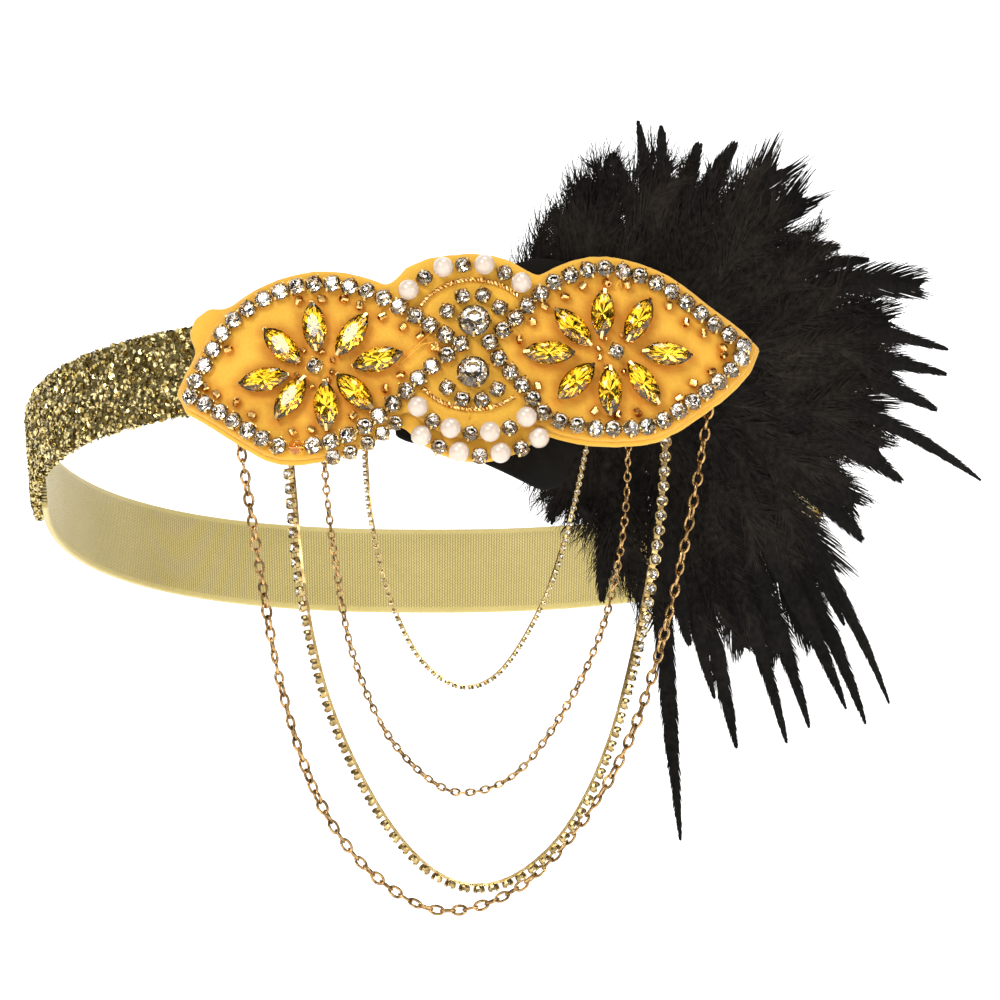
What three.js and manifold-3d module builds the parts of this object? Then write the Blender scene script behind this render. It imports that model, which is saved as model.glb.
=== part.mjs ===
// Flapper feather headband: a glitter and elastic loop, a jewelled felt applique, four swag chains and
// a black plume. Millimetres, +Z up, -Y to the front. The origin is the centre of the loop. The loop sits
// as it is worn, with its front raised, and the chains hang straight down from the applique.

import * as THREE from 'three';
import { mergeVertices } from 'three/addons/utils/BufferGeometryUtils.js';
import Module from 'manifold-3d';

const wasm = await Module();
wasm.setup();

const { degToRad, lerp } = THREE.MathUtils;

// Loop, measured on its outer face
const loopHalfWidth = 81.5;
const loopHalfDepth = 89.5;
const loopSquareness = 2.38; // 2 is a plain ellipse
const loopTilt = degToRad(14.75);
const loopFlare = degToRad(5); // the straps lean out towards their top edge
const glitterHeight = 16.8;
const glitterThickness = 1.5;
const glitterPastSide = degToRad(6); // how far the glitter strap runs behind the loop's sides
const elasticHeight = 18.9;
const elasticThickness = 1.2;
const elasticLap = degToRad(11); // elastic sewn behind each end of the glitter strap
const sewnGap = 0.3;
const strapStep = degToRad(5);
const strapProudSamples = 24;
const strapRoom = 1; // spare height of the block that trims what is worn outside the straps

// Applique: two felt layers on a gentle curve of their own
const appliqueX = 9.2;
const appliqueZ = -0.7;
const appliqueRoll = degToRad(2.8);
const appliqueRadius = 150;
const backingThickness = 1.5;
const baseThickness = 1.4;
const feltMarginTop = 2.9; // from the stones' centre line to the felt's edge
const feltMarginBottom = 2.1;
const backingExtra = 0.6; // how far the backing shows past the base
const crossingHalfGap = 2.8; // from the applique's centre to the inner corner of each medallion
const leftMedallionLength = 52.9;
const rightMedallionLength = 49.9;
const medallionHalfHeight = 16;
const lobeHalfWidth = 17.8;
const lobeTop = 19.7;
const lobeShoulder = 3.3; // squareness of its upper left quarter, where 2 is a plain ellipse
const baseLobeBottom = 17.4;
const backingLobeBottom = 21.4;
const scallopTab = { u: -50.2, v: 9.2, halfWidth: 4.6, halfHeight: 4.6, scallops: 9, bulge: 0.08 };
const slabPastTip = 12; // how far the curved slabs that cut the felt run past its tips
const slabSteps = 16;
const medallionSteps = 44;
const lobeSteps = 28;

// Stones, beads and pearls
const borderStonePitch = 3.5; // measured on the curved felt
const borderOverlap = 0.12; // neighbouring settings of a border run into each other
const borderSides = 8;
const smallStoneRadius = 1.5;
const smallStoneSides = 8;
const largeStoneSides = 10;
const settingHeight = 1.0;
const crownHeight = 0.75;
const tableShare = 0.55;
const barWidth = 1.0;
const barHeight = 0.5;
const barLift = 0.1;
const petalHalfLength = 4.85;
const petalHalfWidth = 2.3;
const petalSettingHeight = 1.5;
const petalCrownHeight = 1.1;
const crystalRadius = 3.25;
const crystalSettingHeight = 1.6;
const crystalCrownHeight = 1.4;
const crystalSpacing = 10.2;
const crystalMiddle = 0.5;
const crystalShift = -0.8; // the lower crystal lies to the left of the upper one
const pearlRadius = 2.0;
const amberRadius = 1.5;
const amberPlace = 0.7; // share of the way round the left border
const borderSamples = 400; // points of a border's line that its curved length is measured on
const beadSides = 10;
const weldDistance = 1e-4;

// Swag chains
const outerChainWidth = 2.2;
const cupChainWidth = 2.5;
const smallChainWidth = 1.35;
const fineChainWidth = 1.1;
const chainSides = 8;
const chainStepInWidths = 3;
const chainClearance = 0.3;
const chainSewnLength = 10; // of each end, between the felt layers

// Plume: its root and pad lie to the right of the applique's middle and above it
const plumeRoot = { right: 34.8, up: -0.8 };
const plumeReach = 100;
const plumeClearance = 0.5;
const plumeBehindFront = 13.5; // how far its middle layer lies behind the loop's front
const plumeBendStart = 30;
const plumeBendRadius = 90;
const lockHalfThickness = 4.3;
const lockLayerStep = 2.4;
const lockSides = 4;
const lockSteps = 5;
const lockRootPhase = 0.15; // a lock's width follows part of a sine arch, from its root to its tip
const lockTipPhase = 0.975;
const lockRoundness = 0.7;
const plumePad = {
  right: 21.8,
  up: -10.8,
  halfWidth: 35,
  halfHeight: 12,
  proud: 0.5, // in front of the applique's reference curve
  thickness: 3,
  sides: 24,
};

// Medallion outlines from the inner corner to the tip and back, as shares of the medallion's length and
// half height
const leftMedallionTop = [
  { along: 0.06, rise: 0.22 },
  { along: 0.18, rise: 0.51 },
  { along: 0.31, rise: 0.78 },
  { along: 0.46, rise: 0.95 },
  { along: 0.60, rise: 0.95 },
  { along: 0.73, rise: 0.82 },
  { along: 0.84, rise: 0.58 },
  { along: 0.91, rise: 0.25 },
];
const leftMedallionTip = { along: 1, rise: -0.22 };
const leftMedallionBottom = [
  { along: 0.90, rise: -0.46 },
  { along: 0.765, rise: -0.82 },
  { along: 0.66, rise: -1.03 },
  { along: 0.49, rise: -1.02 },
  { along: 0.35, rise: -0.85 },
  { along: 0.245, rise: -0.57 },
  { along: 0.13, rise: -0.24 },
];
const rightMedallionTop = [
  { along: 0.05, rise: 0.22 },
  { along: 0.14, rise: 0.49 },
  { along: 0.27, rise: 0.82 },
  { along: 0.45, rise: 0.97 },
  { along: 0.66, rise: 0.79 },
  { along: 0.83, rise: 0.40 },
];
const rightMedallionTip = { along: 1, rise: 0 };
const rightMedallionBottom = [
  { along: 0.89, rise: -0.39 },
  { along: 0.76, rise: -0.70 },
  { along: 0.62, rise: -0.97 },
  { along: 0.47, rise: -1.03 },
  { along: 0.34, rise: -1.00 },
  { along: 0.20, rise: -0.85 },
  { along: 0.12, rise: -0.48 },
  { along: 0.03, rise: -0.13 },
];
const medallionCorner = { along: 0, rise: 0.08 };

// Petals: where each stone's middle lies round its flower (degrees, mm) and which way it points (degrees)
const leftFlower = { u: -30.9, v: -0.9 };
const leftPetals = [
  { name: 'right', at: 0, out: 12.1, points: 11 },
  { name: 'upper_right', at: 36, out: 9.2, points: 51 },
  { name: 'top', at: 88, out: 7.7, points: 93 },
  { name: 'upper_left', at: 143, out: 7.6, points: 132 },
  { name: 'left', at: 190, out: 10.0, points: 184 },
  { name: 'lower_left', at: 231, out: 7.8, points: 232 },
  { name: 'bottom', at: 282, out: 8.5, points: 270 },
  { name: 'lower_right', at: 321, out: 9.6, points: 311 },
];
const rightFlower = { u: 26.9, v: -1.0 };
const rightPetals = [
  { name: 'right', at: 357, out: 9.7, points: 356 },
  { name: 'upper_right', at: 53, out: 7.6, points: 59 },
  { name: 'top', at: 107, out: 7.7, points: 83 },
  { name: 'upper_left', at: 150, out: 9.4, points: 132 },
  { name: 'left', at: 181, out: 13.0, points: 178 },
  { name: 'lower_left', at: 217, out: 10.1, points: 223 },
  { name: 'bottom', at: 258, out: 8.2, points: 267 },
  { name: 'lower_right', at: 307, out: 8.1, points: 303 },
];

// Rows on arcs about the middle of the applique: pearls and stones take turns from one end
const upperRow = { u: -1.3, v: 1.5, radius: 15.5, from: 135.5, to: 46, elements: 7 };
const lowerRow = { u: 0.3, v: -1.7, radius: 15.2, from: 218, to: 305, elements: 7 };
const hemRow = { u: 1.0, v: -1.2, radius: 19.6, from: 231, to: 301.5, elements: 7 };

// Small stones close round the two crystals: centre, radius and the angles of the first and last stone
const upperSmallArc = { radius: 5.6, from: 155, to: 27, elements: 4 };
const lowerSmallArc = { radius: 5.7, from: 208, to: 322, elements: 4 };

// Chain routes, chosen by hand in the plane that each chain hangs in, from its left end to its right end
const outerChainRoute = [
  { x: -36.9, z: 9.0 },
  { x: -36.0, z: 3.5 },
  { x: -32.5, z: -18.7 },
  { x: -28.7, z: -40.0 },
  { x: -22.8, z: -59.4 },
  { x: -15.1, z: -72.9 },
  { x: -5.4, z: -81.6 },
  { x: 3.5, z: -84.7 },
  { x: 14.6, z: -81.9 },
  { x: 25.6, z: -72.9 },
  { x: 37.2, z: -55.5 },
  { x: 44.9, z: -34.2 },
  { x: 50.7, z: -9.0 },
  { x: 53.8, z: 9.0 },
  { x: 54.8, z: 15.2 },
];
const cupChainRoute = [
  { x: -27.4, z: 7.0 },
  { x: -26.6, z: -3.0 },
  { x: -24.7, z: -22.5 },
  { x: -19.9, z: -43.8 },
  { x: -11.2, z: -63.1 },
  { x: -1.5, z: -75.7 },
  { x: 8.1, z: -80.3 },
  { x: 17.8, z: -78.0 },
  { x: 27.4, z: -68.9 },
  { x: 35.2, z: -53.4 },
  { x: 41.0, z: -32.2 },
  { x: 44.8, z: -9.0 },
  { x: 46.2, z: 10.4 },
];
const smallChainRoute = [
  { x: -20.1, z: 6.2 },
  { x: -19.6, z: -3.0 },
  { x: -17.9, z: -16.7 },
  { x: -14.7, z: -34.1 },
  { x: -8.3, z: -49.5 },
  { x: 0.4, z: -59.1 },
  { x: 8.1, z: -61.5 },
  { x: 17.7, z: -57.2 },
  { x: 27.4, z: -43.7 },
  { x: 34.1, z: -28.3 },
  { x: 37.7, z: -10.9 },
  { x: 38.8, z: 7.4 },
];
const fineChainRoute = [
  { x: -12.3, z: 7.2 },
  { x: -11.8, z: -3.0 },
  { x: -10.6, z: -11.5 },
  { x: -7.3, z: -24.4 },
  { x: -1.5, z: -35.9 },
  { x: 6.2, z: -41.2 },
  { x: 13.9, z: -38.4 },
  { x: 21.6, z: -26.3 },
  { x: 26.6, z: -12.4 },
  { x: 30.9, z: 6.6 },
];

// Plume locks as shares of the plume's reach: tip from the root, half width and sideways bend of the
// middle. The layer goes from -1 in front to 1 behind.
const plumeLocks = [
  { right: -0.24, up: 0.19, halfWidth: 0.08, bend: 0.03, layer: 0 },
  { right: -0.18, up: 0.28, halfWidth: 0.08, bend: 0.03, layer: 1 },
  { right: -0.11, up: 0.36, halfWidth: 0.08, bend: 0.03, layer: -1 },
  { right: -0.03, up: 0.44, halfWidth: 0.07, bend: 0.02, layer: 0 },
  { right: 0.06, up: 0.43, halfWidth: 0.08, bend: 0.01, layer: 1 },
  { right: 0.16, up: 0.42, halfWidth: 0.08, bend: -0.01, layer: -1 },
  { right: 0.26, up: 0.38, halfWidth: 0.08, bend: -0.02, layer: 0 },
  { right: 0.34, up: 0.29, halfWidth: 0.08, bend: -0.03, layer: 1 },
  { right: 0.41, up: 0.21, halfWidth: 0.08, bend: -0.03, layer: -1 },
  { right: 0.53, up: 0.15, halfWidth: 0.09, bend: -0.05, layer: 0 },
  { right: 0.58, up: 0.03, halfWidth: 0.08, bend: -0.05, layer: 1 },
  { right: 0.57, up: -0.07, halfWidth: 0.08, bend: -0.05, layer: -1 },
  { right: 0.65, up: -0.23, halfWidth: 0.07, bend: -0.07, layer: 0 },
  { right: 0.50, up: -0.29, halfWidth: 0.08, bend: -0.05, layer: 1 },
  { right: 0.42, up: -0.38, halfWidth: 0.07, bend: -0.05, layer: -1 },
  { right: 0.39, up: -0.51, halfWidth: 0.06, bend: -0.06, layer: 0 },
  { right: 0.46, up: -0.67, halfWidth: 0.05, bend: -0.09, layer: 1 },
  { right: 0.39, up: -0.70, halfWidth: 0.05, bend: -0.08, layer: -1 },
  { right: 0.31, up: -0.72, halfWidth: 0.05, bend: -0.06, layer: 0 },
  { right: 0.26, up: -0.75, halfWidth: 0.05, bend: -0.05, layer: 1 },
  { right: 0.17, up: -0.76, halfWidth: 0.05, bend: -0.04, layer: -1 },
  { right: 0.11, up: -0.66, halfWidth: 0.05, bend: -0.02, layer: 0 },
  { right: 0.06, up: -0.94, halfWidth: 0.05, bend: -0.03, layer: 1 },
  { right: 0.09, up: -0.53, halfWidth: 0.09, bend: 0.00, layer: -1 },
  { right: 0.00, up: -0.52, halfWidth: 0.09, bend: 0.00, layer: 0 },
  { right: -0.09, up: -0.50, halfWidth: 0.09, bend: 0.02, layer: 1 },
  { right: -0.17, up: -0.48, halfWidth: 0.07, bend: 0.04, layer: -1 },
  { right: -0.20, up: -0.34, halfWidth: 0.06, bend: 0.05, layer: 0 },
];

// Materials
const glitterGold = new THREE.MeshStandardMaterial({ color: 0x99854a, roughness: 0.35, metalness: 0.8 });
const elasticGold = new THREE.MeshStandardMaterial({ color: 0xc1ad74, roughness: 0.7, metalness: 0.2 });
const yellowFelt = new THREE.MeshStandardMaterial({ color: 0xdba63c, roughness: 0.85, metalness: 0 });
const clearStone = new THREE.MeshStandardMaterial({ color: 0xd9d6cf, roughness: 0.1, metalness: 0.4 });
const topazStone = new THREE.MeshStandardMaterial({ color: 0xd9a21b, roughness: 0.08, metalness: 0.3 });
const pearlWhite = new THREE.MeshStandardMaterial({ color: 0xf2e6dc, roughness: 0.25, metalness: 0 });
const amberGlass = new THREE.MeshStandardMaterial({ color: 0xc9761a, roughness: 0.1, metalness: 0.1 });
const antiqueGold = new THREE.MeshStandardMaterial({ color: 0x9c7434, roughness: 0.3, metalness: 1 });
const brightGold = new THREE.MeshStandardMaterial({ color: 0xc8a862, roughness: 0.25, metalness: 1 });
const blackFeather = new THREE.MeshStandardMaterial({ color: 0x171511, roughness: 0.9, metalness: 0 });

// A closed geometry as a solid, with its shared vertices merged and its flat triangles left out
function toSolid(geometry) {
  const bare = geometry.clone();
  bare.deleteAttribute('normal');
  bare.deleteAttribute('uv');
  const merged = mergeVertices(bare, weldDistance);
  const corners = merged.index.array;
  const kept = [];
  for (let i = 0; i < corners.length; i += 3) {
    const [a, b, c] = [corners[i], corners[i + 1], corners[i + 2]];
    if (a !== b && b !== c && c !== a) kept.push(a, b, c);
  }
  const vertProperties = new Float32Array(merged.attributes.position.array);
  return new wasm.Manifold(new wasm.Mesh({ numProp: 3, vertProperties, triVerts: new Uint32Array(kept) }));
}

function toGeometry(solid) {
  const mesh = solid.getMesh();
  const geometry = new THREE.BufferGeometry();
  geometry.setAttribute('position', new THREE.BufferAttribute(mesh.vertProperties, 3));
  geometry.setIndex(new THREE.BufferAttribute(mesh.triVerts, 1));
  geometry.computeVertexNormals();
  return geometry;
}

function joined(solids) {
  return solids.reduce((whole, piece) => whole.add(piece));
}

function named(name, geometry, material) {
  const mesh = new THREE.Mesh(geometry, material);
  mesh.name = name;
  return mesh;
}

// Point of the loop's outline at an angle about the origin, moved out by an offset
function loopPoint(angle, offset) {
  const acrossShare = Math.abs(Math.cos(angle) / (loopHalfWidth + offset)) ** loopSquareness;
  const depthShare = Math.abs(Math.sin(angle) / (loopHalfDepth + offset)) ** loopSquareness;
  const reach = (acrossShare + depthShare) ** (-1 / loopSquareness);
  return new THREE.Vector2(reach * Math.cos(angle), reach * Math.sin(angle));
}

function loopPoints(from, to, offset) {
  const steps = Math.max(8, Math.round(Math.abs(to - from) / strapStep));
  return Array.from({ length: steps + 1 }, (_, i) => loopPoint(lerp(from, to, i / steps), offset));
}

// A strap that stands on edge round part of the loop and leans out towards its top
function strapGeometry({ from, to, offset, thickness, height }) {
  const outline = [...loopPoints(from, to, offset), ...loopPoints(to, from, offset - thickness)];
  const shape = new THREE.Shape(outline);
  const geometry = new THREE.ExtrudeGeometry(shape, { depth: height, bevelEnabled: false });
  geometry.translate(0, 0, -height / 2);
  const position = geometry.attributes.position;
  for (let i = 0; i < position.count; i += 1) {
    const spread = 1 + (Math.tan(loopFlare) * position.getZ(i)) / loopHalfWidth;
    position.setX(i, position.getX(i) * spread);
    position.setY(i, position.getY(i) * spread);
  }
  return geometry;
}

// Everything inside the glitter strap's outer face, as a filled block, to trim what is worn outside it
const flareReach = Math.tan(loopFlare) * glitterHeight / 2;
function loopCore(height) {
  const outline = loopPoints(0, 2 * Math.PI - strapStep, flareReach + sewnGap);
  const shape = new THREE.Shape(outline);
  const geometry = new THREE.ExtrudeGeometry(shape, { depth: height, bevelEnabled: false });
  return toSolid(geometry.translate(0, 0, -height / 2));
}

// The applique's curve: depth of the surface that stands a distance out from the reference curve
function curveDepth(x, out) {
  return appliqueRadius - loopHalfDepth - Math.sqrt((appliqueRadius + out) ** 2 - (x - appliqueX) ** 2);
}

// How far the strap stands proud of the reference curve on the side where the felt lies on it
function strapProud() {
  let proud = 0;
  for (let i = 0; i <= strapProudSamples; i += 1) {
    const x = lerp(appliqueX - leftMedallionLength, appliqueX, i / strapProudSamples);
    const across = Math.abs(x / (loopHalfWidth + flareReach)) ** loopSquareness;
    const strapDepth = -(loopHalfDepth + flareReach) * (1 - across) ** (1 / loopSquareness);
    proud = Math.max(proud, curveDepth(x, 0) - strapDepth);
  }
  return proud;
}

const backingOut = strapProud() + sewnGap;
const baseOut = backingOut + backingThickness + sewnGap;
const stoneOut = baseOut + baseThickness + sewnGap;
const hemOut = baseOut;

// Applique coordinates (u right, v up, rolled) to the front view of the tilted loop
function rolled(u, v) {
  const x = appliqueX + u * Math.cos(appliqueRoll) - v * Math.sin(appliqueRoll);
  const z = appliqueZ + u * Math.sin(appliqueRoll) + v * Math.cos(appliqueRoll);
  return new THREE.Vector2(x, z);
}

// Placement of a piece on the applique: its own Z points out, and its own X is turned from the applique's u
function seat(u, v, out, turn = 0) {
  const { x, y: z } = rolled(u, v);
  const lean = Math.asin((x - appliqueX) / (appliqueRadius + out));
  const outward = new THREE.Vector3(Math.sin(lean), -Math.cos(lean), 0);
  const level = new THREE.Vector3(Math.cos(lean), Math.sin(lean), 0);
  const angle = turn + appliqueRoll;
  const up = new THREE.Vector3(0, 0, 1);
  const along = level.multiplyScalar(Math.cos(angle)).addScaledVector(up, Math.sin(angle));
  const side = new THREE.Vector3().crossVectors(outward, along);
  return new THREE.Matrix4()
    .makeBasis(along, side, outward)
    .setPosition(x, curveDepth(x, out), z);
}

// A curved slab between two distances from the reference curve
function curvedSlab(innerOut, outerOut) {
  const halfSpan = Math.max(leftMedallionLength, rightMedallionLength) + slabPastTip;
  const face = (out) => Array.from({ length: slabSteps + 1 }, (_, i) => {
    const x = appliqueX + lerp(-halfSpan, halfSpan, i / slabSteps);
    return new THREE.Vector2(x, curveDepth(x, out));
  });
  const shape = new THREE.Shape([...face(innerOut).reverse(), ...face(outerOut)]);
  const height = 2 * loopHalfWidth;
  const geometry = new THREE.ExtrudeGeometry(shape, { depth: height, bevelEnabled: false });
  return toSolid(geometry.translate(0, 0, -height / 2));
}

// A front-view outline pushed through the applique from front to back
function frontPrism(points) {
  const depth = 2 * loopHalfDepth;
  const geometry = new THREE.ExtrudeGeometry(new THREE.Shape(points), { depth, bevelEnabled: false });
  return toSolid(geometry.rotateX(Math.PI / 2));
}

function medallionPath({ side, length, top, tip, bottom }) {
  const point = ({ along, rise }) => new THREE.Vector2(
    side * (crossingHalfGap + along * length),
    rise * medallionHalfHeight,
  );
  const path = new THREE.Path();
  path.moveTo(point(medallionCorner).x, point(medallionCorner).y);
  path.splineThru([...top.map(point), point(tip)]);
  path.splineThru([...bottom.map(point), point(medallionCorner)]);
  return path;
}

const leftPath = medallionPath({
  side: -1,
  length: leftMedallionLength,
  top: leftMedallionTop,
  tip: leftMedallionTip,
  bottom: leftMedallionBottom,
});
const rightPath = medallionPath({
  side: 1,
  length: rightMedallionLength,
  top: rightMedallionTop,
  tip: rightMedallionTip,
  bottom: rightMedallionBottom,
});

// A medallion's outline grown by the felt margin, which is wider along its top
function grownMedallion(path, extra) {
  const points = path.getSpacedPoints(medallionSteps).slice(0, -1);
  const middle = points.reduce((sum, p) => sum.add(p), new THREE.Vector2()).divideScalar(points.length);
  return points.map((p, i) => {
    const ahead = points[(i + 1) % points.length];
    const behind = points[(i - 1 + points.length) % points.length];
    const normal = new THREE.Vector2(behind.y - ahead.y, ahead.x - behind.x).normalize();
    if (normal.dot(p.clone().sub(middle)) < 0) normal.negate();
    const margin = extra + lerp(feltMarginBottom, feltMarginTop, (normal.y + 1) / 2);
    const grown = p.clone().addScaledVector(normal, margin);
    return rolled(grown.x, grown.y);
  });
}

// The round lobe of felt behind the crossing
function lobeOutline(bottom, extra) {
  const middle = (lobeTop - bottom) / 2;
  const halfHeight = (lobeTop + bottom) / 2 + extra / 2;
  return Array.from({ length: lobeSteps }, (_, i) => {
    const angle = (2 * Math.PI * i) / lobeSteps;
    const across = Math.cos(angle);
    const rise = Math.sin(angle);
    const squareness = across < 0 && rise > 0 ? lobeShoulder : 2;
    const reach = (Math.abs(across) ** squareness + Math.abs(rise) ** squareness) ** (-1 / squareness);
    return rolled((lobeHalfWidth + extra) * reach * across, middle + halfHeight * reach * rise);
  });
}

// The small scalloped tab of backing that shows over the strap beside the left tip
function scallopOutline() {
  const { u, v, halfWidth, halfHeight, scallops, bulge } = scallopTab;
  const steps = 4 * scallops;
  return Array.from({ length: steps }, (_, i) => {
    const angle = (2 * Math.PI * i) / steps;
    const reach = 1 + bulge * Math.abs(Math.sin((scallops * angle) / 2));
    return rolled(u + halfWidth * reach * Math.cos(angle), v + halfHeight * reach * Math.sin(angle));
  });
}

function feltLayer(innerOut, thickness, lobeBottom, extra) {
  const outlines = [
    grownMedallion(leftPath, extra),
    grownMedallion(rightPath, extra),
    lobeOutline(lobeBottom, extra),
  ];
  if (extra > 0) outlines.push(scallopOutline());
  return joined(outlines.map(frontPrism)).intersect(curvedSlab(innerOut, innerOut + thickness));
}

// A cut stone in a closed setting: wall, crown facets and a flat table. The stretch gives its outline
// by angle.
function cutStone({ sides, radius, wall, crown, stretch }) {
  const profile = [
    new THREE.Vector2(0, 0),
    new THREE.Vector2(radius, 0),
    new THREE.Vector2(radius, wall),
    new THREE.Vector2(tableShare * radius, wall + crown),
    new THREE.Vector2(0, wall + crown),
  ];
  const geometry = new THREE.LatheGeometry(profile, sides).rotateX(Math.PI / 2);
  if (stretch) {
    const position = geometry.attributes.position;
    for (let i = 0; i < position.count; i += 1) {
      const factor = stretch(Math.atan2(position.getY(i), position.getX(i))) / radius;
      position.setX(i, position.getX(i) * factor);
      position.setY(i, position.getY(i) * factor);
    }
  }
  return toSolid(geometry);
}

// Flat sides of neighbouring settings meet, so the corner radius follows from the pitch
const borderStoneRadius = (borderStonePitch + borderOverlap) / (2 * Math.cos(Math.PI / borderSides));
const borderStone = cutStone({
  sides: borderSides,
  radius: borderStoneRadius,
  wall: settingHeight,
  crown: crownHeight,
});
const smallStone = cutStone({
  sides: smallStoneSides,
  radius: smallStoneRadius,
  wall: settingHeight,
  crown: crownHeight,
});
const crystal = cutStone({
  sides: largeStoneSides,
  radius: crystalRadius,
  wall: crystalSettingHeight,
  crown: crystalCrownHeight,
});

// A pointed oval: two arcs that meet at its tips, which lie on its own Y
function pointedOval(angle) {
  const arc = (petalHalfLength ** 2 + petalHalfWidth ** 2) / (2 * petalHalfWidth);
  const shift = arc - petalHalfWidth;
  const sideways = Math.abs(Math.cos(angle));
  return -shift * sideways + Math.sqrt(arc ** 2 - (shift * Math.sin(angle)) ** 2);
}

const petal = cutStone({
  sides: largeStoneSides,
  radius: 1,
  wall: petalSettingHeight,
  crown: petalCrownHeight,
  stretch: pointedOval,
});

function placed(solid, matrix) {
  return solid.transform(matrix.elements);
}

// A thin bar between two neighbours of a row, just above the felt
function linkBar(a, b, out) {
  const ends = [a, b].map((p) => new THREE.Vector3().setFromMatrixPosition(seat(p.u, p.v, out)));
  const along = ends[1].clone().sub(ends[0]);
  const length = along.length();
  const outward = new THREE.Vector3().setFromMatrixColumn(seat(a.u, a.v, out), 2);
  const side = new THREE.Vector3().crossVectors(outward, along.normalize()).normalize();
  const frame = new THREE.Matrix4()
    .makeBasis(along, side, new THREE.Vector3().crossVectors(along, side))
    .setPosition(ends[0].add(ends[1]).divideScalar(2));
  const box = new THREE.BoxGeometry(length, barWidth, barHeight).translate(0, 0, barLift + barHeight / 2);
  return toSolid(box.applyMatrix4(frame));
}

function stonesAt(places, stone, out) {
  return places.map((place) => placed(stone, seat(place.u, place.v, out, place.turn)));
}

// A short row of spaced stones, held together by bars
function barredRow(places, stone, out) {
  const bars = places.slice(1).map((place, i) => linkBar(places[i], place, out));
  return joined([...stonesAt(places, stone, out), ...bars]);
}

// Evenly spaced points of a closed outline, as lengths are on the curved felt
function pointsOnFelt(path, pitch) {
  const samples = path.getSpacedPoints(borderSamples);
  const places = samples.map(({ x, y }) => new THREE.Vector3().setFromMatrixPosition(seat(x, y, stoneOut)));
  const lengths = [0];
  places.slice(1).forEach((place, i) => lengths.push(lengths[i] + place.distanceTo(places[i])));
  const whole = lengths[borderSamples];
  const count = Math.round(whole / pitch);
  return Array.from({ length: count }, (_, nth) => {
    const wanted = (whole * nth) / count;
    const after = lengths.findIndex((length) => length > wanted);
    const share = (wanted - lengths[after - 1]) / (lengths[after] - lengths[after - 1]);
    return samples[after - 1].clone().lerp(samples[after], share);
  });
}

// Places round a border, each turned so that its setting's flat sides face its neighbours
function borderPlaces(path) {
  const points = pointsOnFelt(path, borderStonePitch);
  const count = points.length;
  return points.map((p, i) => {
    const ahead = points[(i + 1) % count];
    const behind = points[(i - 1 + count) % count];
    const turn = Math.atan2(ahead.y - behind.y, ahead.x - behind.x) + Math.PI / borderSides;
    return { u: p.x, v: p.y, turn };
  });
}

function arcPlaces({ u, v, radius, from, to, elements }) {
  return Array.from({ length: elements }, (_, i) => {
    const angle = degToRad(lerp(from, to, i / (elements - 1)));
    return { u: u + radius * Math.cos(angle), v: v + radius * Math.sin(angle), turn: angle };
  });
}

function seatedMesh(name, geometry, material, matrix) {
  const mesh = named(name, geometry, material);
  matrix.decompose(mesh.position, mesh.quaternion, mesh.scale);
  return mesh;
}

function beadMesh(name, radius, material, place, out) {
  const geometry = new THREE.SphereGeometry(radius, beadSides, beadSides / 2).rotateX(Math.PI / 2);
  return seatedMesh(name, geometry, material, seat(place.u, place.v, out + radius));
}

// Depth of the middle of the backing layer under a front-view point of the upright frame
function backingDepth(x, z) {
  const depth = curveDepth(x, backingOut + backingThickness / 2);
  const height = (z + depth * Math.sin(loopTilt)) / Math.cos(loopTilt);
  return depth * Math.cos(loopTilt) + height * Math.sin(loopTilt);
}

// A chain hangs in the upright plane through the two places where the applique holds it
function chainCurve(route) {
  const [first, last] = [route[0], route[route.length - 1]];
  const firstDepth = backingDepth(first.x, first.z);
  const lastDepth = backingDepth(last.x, last.z);
  const points = route.map(({ x, z }) => {
    const share = (x - first.x) / (last.x - first.x);
    return new THREE.Vector3(x, lerp(firstDepth, lastDepth, share), z);
  });
  return new THREE.CatmullRomCurve3(points, false, 'centripetal');
}

function chainTube(route, width) {
  const curve = chainCurve(route);
  const section = new THREE.Shape(Array.from({ length: chainSides }, (_, i) => {
    const angle = (2 * Math.PI * (i + 0.5)) / chainSides;
    return new THREE.Vector2(Math.cos(angle), Math.sin(angle)).multiplyScalar(width / 2);
  }));
  const steps = Math.round(curve.getLength() / (chainStepInWidths * width));
  return new THREE.ExtrudeGeometry(section, { steps, extrudePath: curve, bevelEnabled: false });
}

// Room for a chain's two ends between the felt layers
function chainEndRoom(route, width) {
  const curve = chainCurve(route);
  const reach = chainSewnLength / curve.getLength();
  return joined([0, 1].map((end) => {
    const [a, b] = [end, Math.abs(end - reach)].map((share) => curve.getPointAt(share));
    const past = a.clone().sub(b).setLength(chainClearance);
    const line = new THREE.LineCurve3(a.clone().add(past), b);
    const half = width / 2 + chainClearance;
    const section = new THREE.Shape([
      new THREE.Vector2(-half, -half),
      new THREE.Vector2(half, -half),
      new THREE.Vector2(half, half),
      new THREE.Vector2(-half, half),
    ]);
    const sweep = { steps: 1, extrudePath: line, bevelEnabled: false };
    return toSolid(new THREE.ExtrudeGeometry(section, sweep));
  }));
}

const chains = [
  { name: 'outer_link_chain', route: outerChainRoute, width: outerChainWidth, material: antiqueGold },
  { name: 'cup_chain', route: cupChainRoute, width: cupChainWidth, material: brightGold },
  { name: 'small_link_chain', route: smallChainRoute, width: smallChainWidth, material: antiqueGold },
  { name: 'fine_cup_chain', route: fineChainRoute, width: fineChainWidth, material: brightGold },
];

// A front-view point given by its distances from the middle of the applique's back
function fromApplique({ right, up }) {
  const depth = curveDepth(appliqueX, backingOut);
  const middle = appliqueZ * Math.cos(loopTilt) - depth * Math.sin(loopTilt);
  return new THREE.Vector2(appliqueX + right, middle + up);
}

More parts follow.
